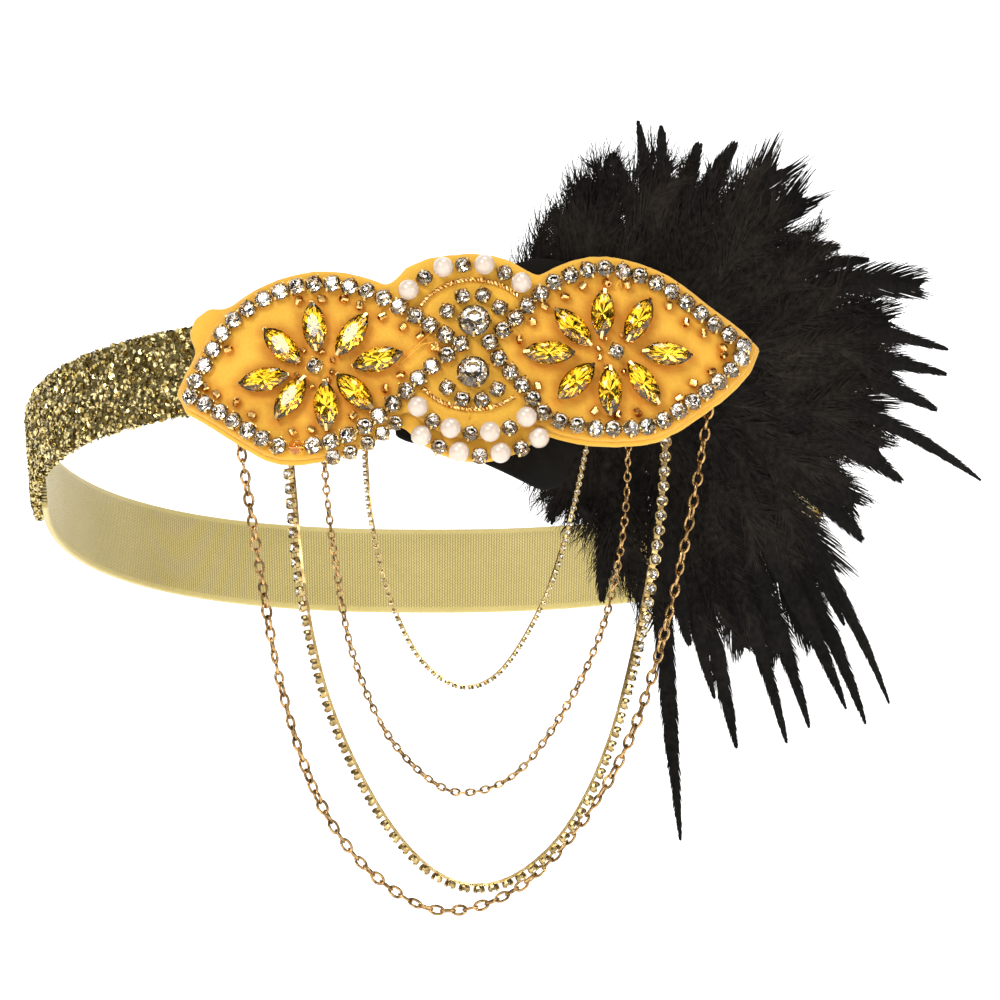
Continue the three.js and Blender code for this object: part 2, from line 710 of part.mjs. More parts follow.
// The plume's middle layer curves back round the side of the head
function plumeSurface(x) {
  const past = Math.max(0, x - plumeBendStart);
  return plumeBehindFront - loopHalfDepth + past ** 2 / (2 * plumeBendRadius);
}

function lockSolid({ right, up, halfWidth, bend, layer }) {
  const root = fromApplique(plumeRoot);
  const tip = new THREE.Vector2(right, up).multiplyScalar(plumeReach).add(root);
  const across = new THREE.Vector2(root.y - tip.y, tip.x - root.x).normalize();
  const middle = root.clone().lerp(tip, 0.5).addScaledVector(across, bend * plumeReach);
  const line = new THREE.QuadraticBezierCurve(root, middle, tip);
  const geometry = new THREE.CylinderGeometry(1, 1, 1, lockSides, lockSteps);
  const position = geometry.attributes.position;
  for (let i = 0; i < position.count; i += 1) {
    const share = position.getY(i) + 0.5;
    const fullness = Math.sin(Math.PI * lerp(lockRootPhase, lockTipPhase, share)) ** lockRoundness;
    const centre = line.getPoint(share);
    const tangent = line.getTangent(share);
    const sideways = position.getX(i) * halfWidth * plumeReach * fullness;
    const px = centre.x - tangent.y * sideways;
    const pz = centre.y + tangent.x * sideways;
    const spread = layer * lockLayerStep * Math.sin((Math.PI / 2) * share);
    const depth = plumeSurface(px) + spread + position.getZ(i) * lockHalfThickness * fullness;
    position.setXYZ(i, px, depth, pz);
  }
  return toSolid(geometry);
}

// The pad under the plume's quills: an upright sheet that follows the applique's curve, and the wedge
// behind the felt
function padOutline() {
  const middle = fromApplique(plumePad);
  return Array.from({ length: plumePad.sides }, (_, i) => {
    const angle = (2 * Math.PI * i) / plumePad.sides;
    const x = middle.x + plumePad.halfWidth * Math.cos(angle);
    return new THREE.Vector2(x, middle.y + plumePad.halfHeight * Math.sin(angle));
  });
}

function padSolid(upright) {
  const outline = frontPrism(padOutline());
  const shift = new THREE.Matrix4().makeTranslation(0, -plumePad.proud, 0);
  const sheet = placed(curvedSlab(-plumePad.thickness, 0), shift).intersect(outline);
  const wedge = placed(curvedSlab(-loopHalfDepth / 2, backingOut - sewnGap), upright)
    .intersect(outline)
    .intersect(placed(strapZone(), upright));
  return sheet.add(wedge);
}

// The height range that the straps take, across the whole loop
const strapZoneHeight = Math.max(glitterHeight, elasticHeight);
function strapZone() {
  const span = 4 * Math.max(loopHalfWidth, loopHalfDepth);
  return toSolid(new THREE.BoxGeometry(span, span, strapZoneHeight));
}

// Everything in front of the backing's rear face, a little larger than the felt
function feltRoom() {
  const margin = backingExtra + plumeClearance;
  const outlines = [
    grownMedallion(leftPath, margin),
    grownMedallion(rightPath, margin),
    lobeOutline(backingLobeBottom, 2 * margin),
  ];
  const front = curvedSlab(backingOut - sewnGap, backingOut + loopHalfWidth);
  return joined(outlines.map(frontPrism)).intersect(front);
}

function plumeSolid(upright, rooms) {
  return joined([padSolid(upright), ...plumeLocks.map(lockSolid)])
    .subtract(placed(feltRoom(), upright))
    .subtract(placed(loopCore(strapZoneHeight + 2 * strapRoom), upright))
    .subtract(rooms);
}

const headband = new THREE.Group();
const tilted = new THREE.Group();
tilted.rotation.x = -loopTilt;
tilted.updateMatrix();
headband.add(tilted);

const upright = tilted.matrix.clone();
const intoTilted = upright.clone().invert();

// Loop
tilted.add(named('glitter_band', strapGeometry({
  from: Math.PI - glitterPastSide,
  to: 2 * Math.PI + glitterPastSide,
  offset: 0,
  thickness: glitterThickness,
  height: glitterHeight,
}), glitterGold));
tilted.add(named('elastic_band', strapGeometry({
  from: glitterPastSide - elasticLap,
  to: Math.PI - glitterPastSide + elasticLap,
  offset: -glitterThickness - sewnGap,
  thickness: elasticThickness,
  height: elasticHeight,
}), elasticGold));

// Felt layers, with room between them for the chains' ends
const rooms = joined(chains.map(({ route, width }) => chainEndRoom(route, width)));
const roomsTilted = placed(rooms, intoTilted);
const backing = feltLayer(backingOut, backingThickness, backingLobeBottom, backingExtra);
const base = feltLayer(baseOut, baseThickness, baseLobeBottom, 0);
tilted.add(named('felt_backing', toGeometry(backing.subtract(roomsTilted)), yellowFelt));
tilted.add(named('felt_base', toGeometry(base.subtract(roomsTilted)), yellowFelt));

// Borders, with one amber bead in place of a stone of the left one
const leftBorder = borderPlaces(leftPath);
const amberIndex = Math.round(amberPlace * leftBorder.length);
const rightBorder = borderPlaces(rightPath);
const [amberSeat] = leftBorder.splice(amberIndex, 1);
const borders = { left_stone_border: leftBorder, right_stone_border: rightBorder };
for (const [name, places] of Object.entries(borders)) {
  tilted.add(named(name, toGeometry(joined(stonesAt(places, borderStone, stoneOut))), clearStone));
}
tilted.add(beadMesh('amber_bead', amberRadius, amberGlass, amberSeat, stoneOut));

// Flowers
const flowers = [
  { side: 'left', centre: leftFlower, petals: leftPetals },
  { side: 'right', centre: rightFlower, petals: rightPetals },
];
const petalGeometry = toGeometry(petal);
const smallGeometry = toGeometry(smallStone);
for (const { side, centre, petals } of flowers) {
  for (const { name, at, out, points } of petals) {
    const u = centre.u + out * Math.cos(degToRad(at));
    const v = centre.v + out * Math.sin(degToRad(at));
    const matrix = seat(u, v, stoneOut, degToRad(points - 90));
    tilted.add(seatedMesh(`${side}_petal_${name}`, petalGeometry, topazStone, matrix));
  }
  const middle = seat(centre.u, centre.v, stoneOut);
  tilted.add(seatedMesh(`${side}_flower_centre`, smallGeometry, clearStone, middle));
}

// Centre crystals and the small stones round them
const crystalGeometry = toGeometry(crystal);
const upperCrystal = { u: 0, v: crystalMiddle + crystalSpacing / 2 };
const lowerCrystal = { u: crystalShift, v: crystalMiddle - crystalSpacing / 2 };
const crystalPlaces = { upper_crystal: upperCrystal, lower_crystal: lowerCrystal };
for (const [name, { u, v }] of Object.entries(crystalPlaces)) {
  tilted.add(seatedMesh(name, crystalGeometry, clearStone, seat(u, v, stoneOut)));
}
const smallArcs = {
  upper_small_stones: { ...upperCrystal, ...upperSmallArc },
  lower_small_stones: { ...lowerCrystal, ...lowerSmallArc },
};
for (const [name, arc] of Object.entries(smallArcs)) {
  tilted.add(named(name, toGeometry(barredRow(arcPlaces(arc), smallStone, stoneOut)), clearStone));
}

// Rows of pearls and stones by turns
const pearlRows = [
  { name: 'upper', row: upperRow, out: stoneOut },
  { name: 'lower', row: lowerRow, out: stoneOut },
  { name: 'hem', row: hemRow, out: hemOut },
];
for (const { name, row, out } of pearlRows) {
  arcPlaces(row).forEach((place, i) => {
    const nth = Math.floor(i / 2) + 1;
    const stoneSeat = seat(place.u, place.v, out, place.turn);
    const mesh = i % 2 === 0
      ? beadMesh(`${name}_pearl_${nth}`, pearlRadius, pearlWhite, place, out)
      : seatedMesh(`${name}_row_stone_${nth}`, smallGeometry, clearStone, stoneSeat);
    tilted.add(mesh);
  });
}

// Chains and plume
for (const { name, route, width, material } of chains) {
  headband.add(named(name, chainTube(route, width), material));
}
headband.add(named('plume', toGeometry(plumeSolid(upright, rooms)), blackFeather));

export default headband;
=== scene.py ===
# %% [markdown]
# A flapper headband is a ring of strap with a jewelled felt badge at the front, swags of fine chain
# under it and a burst of black feathers at one side. The solids that fix its size come from the frame.
# Everything here is dressed around them, in metres, and nothing of the frame is moved.

# %% Load the frame
import math
import bpy
import numpy as np
from mathutils import Matrix, Vector
from mathutils.geometry import delaunay_2d_cdt


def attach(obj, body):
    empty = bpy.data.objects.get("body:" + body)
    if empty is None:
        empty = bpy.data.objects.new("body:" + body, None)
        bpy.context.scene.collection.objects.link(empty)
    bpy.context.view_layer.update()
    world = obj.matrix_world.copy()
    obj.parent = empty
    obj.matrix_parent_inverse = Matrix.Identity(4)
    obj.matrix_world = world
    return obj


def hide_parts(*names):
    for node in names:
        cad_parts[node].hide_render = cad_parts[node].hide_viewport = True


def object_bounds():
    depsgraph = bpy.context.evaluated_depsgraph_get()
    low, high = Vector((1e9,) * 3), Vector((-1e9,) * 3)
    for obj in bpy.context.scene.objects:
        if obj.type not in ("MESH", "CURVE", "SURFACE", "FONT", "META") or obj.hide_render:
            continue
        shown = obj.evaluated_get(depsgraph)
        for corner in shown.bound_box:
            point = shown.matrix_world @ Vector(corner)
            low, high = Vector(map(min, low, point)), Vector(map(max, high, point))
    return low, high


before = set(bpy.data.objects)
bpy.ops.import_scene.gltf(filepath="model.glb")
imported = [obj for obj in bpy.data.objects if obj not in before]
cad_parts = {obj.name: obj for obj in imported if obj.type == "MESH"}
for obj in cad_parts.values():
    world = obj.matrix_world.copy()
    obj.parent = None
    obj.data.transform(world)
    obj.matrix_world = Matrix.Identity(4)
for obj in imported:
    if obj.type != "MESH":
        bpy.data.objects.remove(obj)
cad_low, cad_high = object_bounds()
MM = 0.001
rng = np.random.default_rng(1925)
print("CAD box in mm:", [round((b - a) / MM, 1) for a, b in zip(cad_low, cad_high)])

# %% [markdown]
# The camera stands level and far away, as a shop photograph is taken. A small shift frames the badge
# left of the middle, so the feathers and the whole swag fit.

# %% Camera
SENSOR = 36
FRAME_PIXELS = 1000
PIXELS_PER_METRE = 5200
BADGE_Y = -95 * MM
CAMERA_DISTANCE = 1400 * MM
CAMERA_HEIGHT = 8 * MM
PIXEL_OF_ORIGIN = 428
PIXEL_OF_HORIZON = 432

camera = bpy.data.objects.new("camera", bpy.data.cameras.new("camera"))
bpy.context.scene.collection.objects.link(camera)
bpy.context.scene.camera = camera
camera.location = (0, BADGE_Y - CAMERA_DISTANCE, CAMERA_HEIGHT)
camera.rotation_euler = (math.pi / 2, 0, 0)
camera.data.sensor_width = SENSOR
camera.data.lens = SENSOR * CAMERA_DISTANCE * PIXELS_PER_METRE / FRAME_PIXELS
camera.data.shift_x = 0.5 - PIXEL_OF_ORIGIN / FRAME_PIXELS
camera.data.shift_y = PIXEL_OF_HORIZON / FRAME_PIXELS - 0.5
print("lens in mm:", round(camera.data.lens))

# %% [markdown]
# Small helpers keep the pieces short. A shape is three arrays: points, the corner list of all faces,
# and how many corners each face has. Shapes are copied by matrices and joined into one mesh, which is
# far quicker than making hundreds of objects.

# %% Shapes
def shape(points, faces):
    loops = np.concatenate([np.asarray(face, int) for face in faces])
    return np.asarray(points, float), loops, np.array([len(face) for face in faces])


def copies(one, matrices):
    points, loops, sizes = one
    matrices = np.asarray(matrices, float)
    turned = np.einsum("kij,nj->kni", matrices[:, :3, :3], points) + matrices[:, None, :3, 3]
    shifted = loops[None, :] + (np.arange(len(matrices)) * len(points))[:, None]
    return turned.reshape(-1, 3), shifted.ravel(), np.tile(sizes, len(matrices))


def together(shapes):
    starts = np.cumsum([0] + [len(points) for points, _, _ in shapes])
    points = np.concatenate([points for points, _, _ in shapes])
    loops = np.concatenate([part[1] + start for part, start in zip(shapes, starts)])
    return points, loops, np.concatenate([sizes for _, _, sizes in shapes])


def piece(name, parts, smooth=False, stands_for=()):
    """One object from a list of (shape, material), riding on the frame's only body."""
    points, loops, sizes = together([part for part, _ in parts])
    mesh = bpy.data.meshes.new(name)
    mesh.vertices.add(len(points))
    mesh.vertices.foreach_set("co", points.ravel())
    mesh.loops.add(len(loops))
    mesh.loops.foreach_set("vertex_index", loops.astype(np.int32))
    mesh.polygons.add(len(sizes))
    mesh.polygons.foreach_set("loop_start", np.concatenate([[0], np.cumsum(sizes)[:-1]]).astype(np.int32))
    numbers = np.concatenate([np.full(len(part[2]), i) for i, (part, _) in enumerate(parts)])
    mesh.polygons.foreach_set("material_index", numbers.astype(np.int32))
    mesh.polygons.foreach_set("use_smooth", np.full(len(sizes), smooth))
    for _, material in parts:
        mesh.materials.append(material)
    mesh.update(calc_edges=True)
    made = bpy.data.objects.new(name, mesh)
    bpy.context.scene.collection.objects.link(made)
    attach(made, "root")
    if stands_for:
        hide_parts(*stands_for)
    print(name, "faces:", len(sizes))
    return made


def rings(stations, closed=False):
    """Quads between neighbouring rings, for an array of (stations, points of a ring, 3)."""
    count, around, _ = stations.shape
    last = count if closed else count - 1
    i, j = np.meshgrid(np.arange(last), np.arange(around), indexing="ij")
    ahead, beside = (i + 1) % count, (j + 1) % around
    faces = np.stack([i * around + j, i * around + beside, ahead * around + beside, ahead * around + j], -1)
    faces = faces.reshape(-1, 4)
    caps = [] if closed else [np.arange(around)[::-1], (count - 1) * around + np.arange(around)]
    return shape(stations.reshape(-1, 3), [*faces, *caps])


def matrices_of(origins, x_axes, y_axes, z_axes):
    made = np.zeros((len(origins), 4, 4))
    made[:, :3, 0], made[:, :3, 1], made[:, :3, 2], made[:, :3, 3] = x_axes, y_axes, z_axes, origins
    made[:, 3, 3] = 1
    return made


def unit(vectors):
    return vectors / np.linalg.norm(vectors, axis=-1, keepdims=True)


# %% Material helpers
def node(tree, kind, inputs=(), **settings):
    """A shader node with its settings, and its inputs as values or as sockets to link."""
    made = tree.nodes.new(kind)
    for key, value in settings.items():
        setattr(made, key, value)
    for key, value in dict(inputs).items():
        if isinstance(value, bpy.types.NodeSocket):
            tree.links.new(value, made.inputs[key])
        else:
            made.inputs[key].default_value = value
    return made


def math_node(tree, operation, *values):
    return node(tree, "ShaderNodeMath", dict(enumerate(values)), operation=operation).outputs[0]


def blended(tree, factor, first, second):
    """A colour between two, by a factor."""
    mixed = node(tree, "ShaderNodeMix", {"Factor": factor, "A": (0, 0, 0, 1), "B": (0, 0, 0, 1)}, data_type="RGBA")
    for key, value in ((6, first), (7, second)):
        if isinstance(value, bpy.types.NodeSocket):
            tree.links.new(value, mixed.inputs[key])
        else:
            mixed.inputs[key].default_value = (*value, 1)
    return mixed.outputs[2]


def finish_of(name, **values):
    """A material with a Principled shader, whose fixed values are set by plain names."""
    material = bpy.data.materials.new(name)
    material.use_nodes = True
    shader = material.node_tree.nodes["Principled BSDF"]
    for key, value in values.items():
        label = key.replace("_", " ").title().replace("Ior", "IOR")
        shader.inputs[label].default_value = value
    return material, material.node_tree, shader


def new_group(name, inputs, outputs):
    """An empty node group, with its input and output nodes, from (name, kind, default) rows."""
    group = bpy.data.node_groups.new(name, "ShaderNodeTree")
    for label, kind, default in inputs:
        socket = group.interface.new_socket(label, in_out="INPUT", socket_type=kind)
        socket.default_value = default
    for label, kind in outputs:
        group.interface.new_socket(label, in_out="OUTPUT", socket_type=kind)
    return group, group.nodes.new("NodeGroupInput"), group.nodes.new("NodeGroupOutput")


def placed_group(tree, group, **inputs):
    made = tree.nodes.new("ShaderNodeGroup")
    made.node_tree = group
    for key, value in inputs.items():
        socket = made.inputs[key.replace("_", " ").capitalize()]
        if isinstance(value, bpy.types.NodeSocket):
            tree.links.new(value, socket)
        else:
            socket.default_value = value
    return made.outputs


# %% [markdown]
# Three effects are shared. Soft grain gives cloth its fibres, old gold gives every metal brown patches
# and brighter worn spots at random, and stone tint makes neighbouring stones differ a little, as glass does.

# %% Shared effects
COLOR = "NodeSocketColor"
FLOAT = "NodeSocketFloat"


def soft_grain():
    group, given, result = new_group(
        "soft_grain",
        [("Fibre scale", FLOAT, 2500.0), ("Cloud scale", FLOAT, 120.0)],
        [("Shade", FLOAT), ("Height", FLOAT)],
    )
    place = group.nodes.new("ShaderNodeTexCoord").outputs["Object"]
    fibre = node(group, "ShaderNodeTexNoise", {"Vector": place, "Scale": given.outputs[0], "Detail": 3.0})
    cloud = node(group, "ShaderNodeTexNoise", {"Vector": place, "Scale": given.outputs[1], "Detail": 2.0})
    shade = math_node(group, "ADD", math_node(group, "MULTIPLY", fibre.outputs[0], 0.5),
                      math_node(group, "MULTIPLY", cloud.outputs[0], 0.5))
    group.links.new(shade, result.inputs["Shade"])
    group.links.new(fibre.outputs[0], result.inputs["Height"])
    return group


def old_gold():
    group, given, result = new_group(
        "old_gold",
        [("Bright", COLOR, (1, 1, 1, 1)), ("Dark", COLOR, (0, 0, 0, 1)), ("Patch scale", FLOAT, 400.0)],
        [("Color", COLOR), ("Roughness", FLOAT)],
    )
    place = group.nodes.new("ShaderNodeTexCoord").outputs["Object"]
    patch = node(group, "ShaderNodeTexNoise", {"Vector": place, "Scale": given.outputs[2], "Detail": 3.0})
    ramp = node(group, "ShaderNodeValToRGB", {"Fac": patch.outputs[0]})
    ramp.color_ramp.elements[0].position = 0.38
    ramp.color_ramp.elements[1].position = 0.62
    color = blended(group, ramp.outputs[0], given.outputs[1], given.outputs[0])
    rough = node(group, "ShaderNodeMapRange", {"Value": patch.outputs[0], 3: 0.34, 4: 0.14})
    group.links.new(color, result.inputs["Color"])
    group.links.new(rough.outputs[0], result.inputs["Roughness"])
    return group


def stone_tint():
    group, given, result = new_group(
        "stone_tint",
        [("Tint", COLOR, (1, 1, 1, 1)), ("Smoke", COLOR, (0, 0, 0, 1)), ("Patch scale", FLOAT, 250.0)],
        [("Color", COLOR)],
    )
    place = group.nodes.new("ShaderNodeTexCoord").outputs["Object"]
    patch = node(group, "ShaderNodeTexNoise", {"Vector": place, "Scale": given.outputs[2], "Detail": 0.0})
    group.links.new(blended(group, patch.outputs[0], given.outputs[1], given.outputs[0]), result.inputs["Color"])
    return group


SOFT_GRAIN = soft_grain()
OLD_GOLD = old_gold()
STONE_TINT = stone_tint()

# %% [markdown]
# The backdrop is one pale sweep, a floor that curves up into a wall. It glows a little, as an
# overexposed studio paper does, so that the feathers' edges read against white. The wall stands
# farther off than the camera, so that it doesn't hide the part in a view from behind.

# %% Backdrop and light
FLOOR_DROP = 110 * MM
SWEEP_HALF_WIDTH = 6.0
SWEEP_FRONT = -4.0
WALL_Y = 1.8
WALL_HEIGHT = 5.5
BEND_RADIUS = 0.4


def sweep_profile(floor_z):
    arc = [(WALL_Y - BEND_RADIUS + BEND_RADIUS * math.sin(a), floor_z + BEND_RADIUS * (1 - math.cos(a)))
           for a in np.linspace(0, math.pi / 2, 12)]
    return [(SWEEP_FRONT, floor_z), *arc, (WALL_Y, WALL_HEIGHT)]


profile = sweep_profile(cad_low.z - FLOOR_DROP)
points = [(x, y, z) for y, z in profile for x in (-SWEEP_HALF_WIDTH, SWEEP_HALF_WIDTH)]
faces = [(2 * i, 2 * i + 1, 2 * i + 3, 2 * i + 2) for i in range(len(profile) - 1)]
sweep_mesh = bpy.data.meshes.new("backdrop")
sweep_mesh.from_pydata(points, [], faces)
backdrop = bpy.data.objects.new("backdrop", sweep_mesh)
bpy.context.scene.collection.objects.link(backdrop)
paper, paper_tree, paper_shader = finish_of("studio_paper", base_color=(0.9, 0.9, 0.9, 1), roughness=0.9,
                                            emission_color=(1, 1, 1, 1), emission_strength=0.75)
sweep_mesh.materials.append(paper)

LIGHTS = [
    {"name": "key", "at": (-0.7, -1.1, 0.9), "size": 0.55, "watts": 13},
    {"name": "fill", "at": (1.1, -1.2, 0.2), "size": 0.7, "watts": 6},
    {"name": "top", "at": (0.1, -0.3, 1.3), "size": 0.6, "watts": 9},
    {"name": "low_front", "at": (-0.3, -1.5, -0.3), "size": 0.3, "watts": 3},
    {"name": "spark_left", "at": (-0.35, -1.3, 0.35), "size": 0.05, "watts": 1.2},
    {"name": "spark_right", "at": (0.5, -1.3, 0.55), "size": 0.05, "watts": 1.2},
    {"name": "spark_middle", "at": (0.1, -1.4, 0.15), "size": 0.04, "watts": 0.8},
]
for row in LIGHTS:
    lamp = bpy.data.lights.new(row["name"], "AREA")
    lamp.energy = row["watts"]
    lamp.size = row["size"]
    holder = bpy.data.objects.new(row["name"], lamp)
    holder.location = row["at"]
    holder.rotation_euler = (-Vector(row["at"])).to_track_quat("-Z", "Y").to_euler()
    bpy.context.scene.collection.objects.link(holder)

world = bpy.data.worlds.new("studio")
bpy.context.scene.world = world
world.use_nodes = True
world.node_tree.nodes["Background"].inputs["Color"].default_value = (1, 0.99, 0.97, 1)
world.node_tree.nodes["Background"].inputs["Strength"].default_value = 0.06
bpy.context.scene.view_settings.view_transform = "Standard"
print("lights:", len(LIGHTS))

# %% [markdown]
# The strap is worn, so its loop is a squarish oval, tilted up at the front, and the strap leans out
# towards its top edge. One function gives a point of the loop and another tilts it into place.

# %% The loop's outline
TILT = math.radians(14.75)
LOOP_HALF_WIDTH = 81.5 * MM
LOOP_HALF_DEPTH = 89.5 * MM
LOOP_SQUARENESS = 2.38
STRAP_FLARE = math.tan(math.radians(5))


def tilted(points):
    """From the loop's own level to how it is worn."""
    x, y, z = np.moveaxis(np.asarray(points, float), -1, 0)
    return np.stack([x, y * math.cos(TILT) + z * math.sin(TILT), z * math.cos(TILT) - y * math.sin(TILT)], -1)


def levelled(points):
    x, y, z = np.moveaxis(np.asarray(points, float), -1, 0)
    return np.stack([x, y * math.cos(TILT) - z * math.sin(TILT), z * math.cos(TILT) + y * math.sin(TILT)], -1)


def loop_point(angle, offset):
    across = np.abs(np.cos(angle) / (LOOP_HALF_WIDTH + offset)) ** LOOP_SQUARENESS
    deep = np.abs(np.sin(angle) / (LOOP_HALF_DEPTH + offset)) ** LOOP_SQUARENESS
    reach = (across + deep) ** (-1 / LOOP_SQUARENESS)
    return reach * np.cos(angle), reach * np.sin(angle)


def strap_points(angle, offset, height):
    """Points of a strap's face at angles round the loop and heights on the strap."""
    x, y = loop_point(angle, offset)
    spread = 1 + STRAP_FLARE * height / LOOP_HALF_WIDTH
    return tilted(np.stack([x * spread, y * spread, height + 0 * x], -1))


# %% [markdown]
# A strap is a long thin band on edge. Its section is a rounded rectangle that runs round the loop, and
# its two texture directions are real lengths, so that the weave has the right scale everywhere.

# %% Strap maker
EDGE_ROUND = 0.35 * MM


def strap_section(height, thickness, rows):
    """Section corners as (inward, up), all round, with rows of points up each face."""
    half, r = height / 2, min(EDGE_ROUND, thickness / 2)
    ups = np.linspace(-half + r, half - r, rows)
    front = [(0, up) for up in ups]
    top = [(thickness * 0.25, half), (thickness * 0.75, half)]
    back = [(thickness, up) for up in ups[::-1]]
    bottom = [(thickness * 0.75, -half), (thickness * 0.25, -half)]
    return np.array(front + top + back + bottom)


def strap(name, start, end, offset, thickness, height, steps, rows, material, stands_for, wave=0.0):
    section = strap_section(height, thickness, rows)
    angles = np.linspace(start, end, steps)[:, None]
    ripple = wave * np.sin(angles * 23) * np.cos(section[None, :, 1] / height * 3)
    stations = strap_points(angles + 0 * section[None, :, 0], offset - section[None, :, 0] + ripple,
                            section[None, :, 1] + 0 * angles)
    made = piece(name, [(rings(stations), material)], smooth=True, stands_for=stands_for)
    middle = stations[:, 0, :]
    along = np.concatenate([[0], np.cumsum(np.linalg.norm(np.diff(middle, axis=0), axis=1))])
    coordinates = np.stack(np.broadcast_arrays(along[:, None], section[None, :, 1]), -1).reshape(-1, 2)
    layer = made.data.uv_layers.new(name="strap")
    corners = np.zeros(len(made.data.loops), int)
    made.data.loops.foreach_get("vertex_index", corners)
    layer.data.foreach_set("uv", coordinates[corners].ravel())
    print(name, "length in mm:", round(along[-1] / MM))
    return made


# %% Glitter finish
glitter, tree, shader = finish_of("glitter_ground", metallic=0.6)
grain = placed_group(tree, SOFT_GRAIN, Fibre_scale=2600.0, Cloud_scale=300.0)
flecks = node(tree, "ShaderNodeTexVoronoi", {"Scale": 1400.0})
tree.links.new(tree.nodes.new("ShaderNodeTexCoord").outputs["Object"], flecks.inputs["Vector"])
tree.links.new(blended(tree, grain["Shade"], (0.02, 0.014, 0.002), (0.26, 0.19, 0.05)), shader.inputs["Base Color"])
shader.inputs["Roughness"].default_value = 0.5
bump = node(tree, "ShaderNodeBump", {"Strength": 0.9, "Distance": 0.0004, "Height": flecks.outputs[0]})
tree.links.new(bump.outputs[0], shader.inputs["Normal"])

flake_gold, tree, shader = finish_of("glitter_flakes", metallic=1.0, roughness=0.22)
gold = placed_group(tree, OLD_GOLD, Bright=(0.80, 0.68, 0.34, 1), Dark=(0.26, 0.18, 0.04, 1), Patch_scale=1100.0)
tree.links.new(gold["Color"], shader.inputs["Base Color"])

# %% [markdown]
# The glitter strap has thousands of small foil flakes, glued at every angle. They are real hexagons
# here, since a bump can't throw the separate sparks that tell glitter from gold paint.

# %% Glitter strap
GLITTER_HEIGHT = 16.8 * MM
GLITTER_THICKNESS = 1.5 * MM
GLITTER_PAST_SIDE = math.radians(6)
FLAKES = 13000
EDGE_FLAKES = 3000
FLAKE_SMALLEST = 0.28 * MM
FLAKE_LARGEST = 0.62 * MM
FLAKE_LEAN = 0.55

glitter_start = math.pi - GLITTER_PAST_SIDE
glitter_end = 2 * math.pi + GLITTER_PAST_SIDE
strap("glitter_strap", glitter_start, glitter_end, 0, GLITTER_THICKNESS, GLITTER_HEIGHT, 200, 8,
      glitter, ["glitter_band"])

flake_angles = rng.uniform(glitter_start, glitter_end, FLAKES)
flake_heights = rng.uniform(-0.5, 0.5, FLAKES) * GLITTER_HEIGHT
middles = strap_points(flake_angles, 0.10 * MM, flake_heights)
outward = unit(strap_points(flake_angles, 1 * MM, flake_heights) - strap_points(flake_angles, 0, flake_heights))
edge_angles = rng.uniform(glitter_start, glitter_end, EDGE_FLAKES)
edge_sides = np.where(rng.uniform(0, 1, EDGE_FLAKES) < 0.5, -1.0, 1.0)
edge_heights = edge_sides * (GLITTER_HEIGHT / 2 + 0.05 * MM)
edge_middles = strap_points(edge_angles, -rng.uniform(0, 1, EDGE_FLAKES) * GLITTER_THICKNESS, edge_heights)
edge_outward = edge_sides[:, None] * tilted([0.0, 0.0, 1.0])
middles = np.concatenate([middles, edge_middles])
outward = np.concatenate([outward, edge_outward])
leans = unit(outward + rng.normal(0, FLAKE_LEAN, outward.shape))
sides = unit(np.cross(leans, rng.normal(0, 1, outward.shape)))
sizes = rng.uniform(FLAKE_SMALLEST, FLAKE_LARGEST, len(outward))[:, None]
hexagon = [(math.cos(a), math.sin(a), 0) for a in np.arange(6) * math.pi / 3]
flakes = copies(shape(hexagon, [range(6)]), matrices_of(middles, sides * sizes, np.cross(leans, sides) * sizes, leans))
piece("glitter_flakes", [(flakes, flake_gold)])

# %% [markdown]
# The back half is woven metallic elastic. Its face shows fine upright columns of short dark slots
# between the gold threads, with a plain selvedge along both edges.

# %% Elastic finish
COLUMN_PITCH = 0.56 * MM
SLOT_PITCH = 0.66 * MM
ELASTIC_HEIGHT = 18.9 * MM

elastic, tree, shader = finish_of("woven_elastic", roughness=0.55, metallic=0.15, sheen_weight=0.2)
uv = node(tree, "ShaderNodeSeparateXYZ", {0: tree.nodes.new("ShaderNodeTexCoord").outputs["UV"]}).outputs
column = math_node(tree, "DIVIDE", uv[0], COLUMN_PITCH)
odd = math_node(tree, "MULTIPLY", math_node(tree, "MODULO", math_node(tree, "FLOOR", column), 2.0), 0.5)
slot_place = math_node(tree, "ADD", math_node(tree, "DIVIDE", uv[1], SLOT_PITCH), odd)


def ridge(tree, value):
    """0 on a thread's crown and 1 between two threads."""
    part = math_node(tree, "FRACT", value)
    return math_node(tree, "MULTIPLY", math_node(tree, "ABSOLUTE", math_node(tree, "SUBTRACT", part, 0.5)), 2.0)


column_gap = node(tree, "ShaderNodeMapRange", {"Value": ridge(tree, column), 1: 0.45, 2: 0.65}).outputs[0]
slot_gap = node(tree, "ShaderNodeMapRange", {"Value": ridge(tree, slot_place), 1: 0.45, 2: 0.62}).outputs[0]
inside = node(tree, "ShaderNodeMapRange", {"Value": math_node(tree, "ABSOLUTE", uv[1]),
                                           1: ELASTIC_HEIGHT / 2 - 0.9 * MM, 2: ELASTIC_HEIGHT / 2 - 1.3 * MM})
dash = math_node(tree, "MULTIPLY", math_node(tree, "MULTIPLY", column_gap, slot_gap), inside.outputs[0])
grain = placed_group(tree, SOFT_GRAIN, Fibre_scale=1500.0, Cloud_scale=60.0)
thread = blended(tree, grain["Shade"], (0.42, 0.32, 0.075), (0.67, 0.55, 0.22))
tree.links.new(blended(tree, math_node(tree, "MULTIPLY", dash, 0.95), thread, (0.05, 0.035, 0.01)),
               shader.inputs["Base Color"])
height = math_node(tree, "ADD", math_node(tree, "MULTIPLY", ridge(tree, slot_place), -0.4),
                   math_node(tree, "MULTIPLY", dash, -1.0))
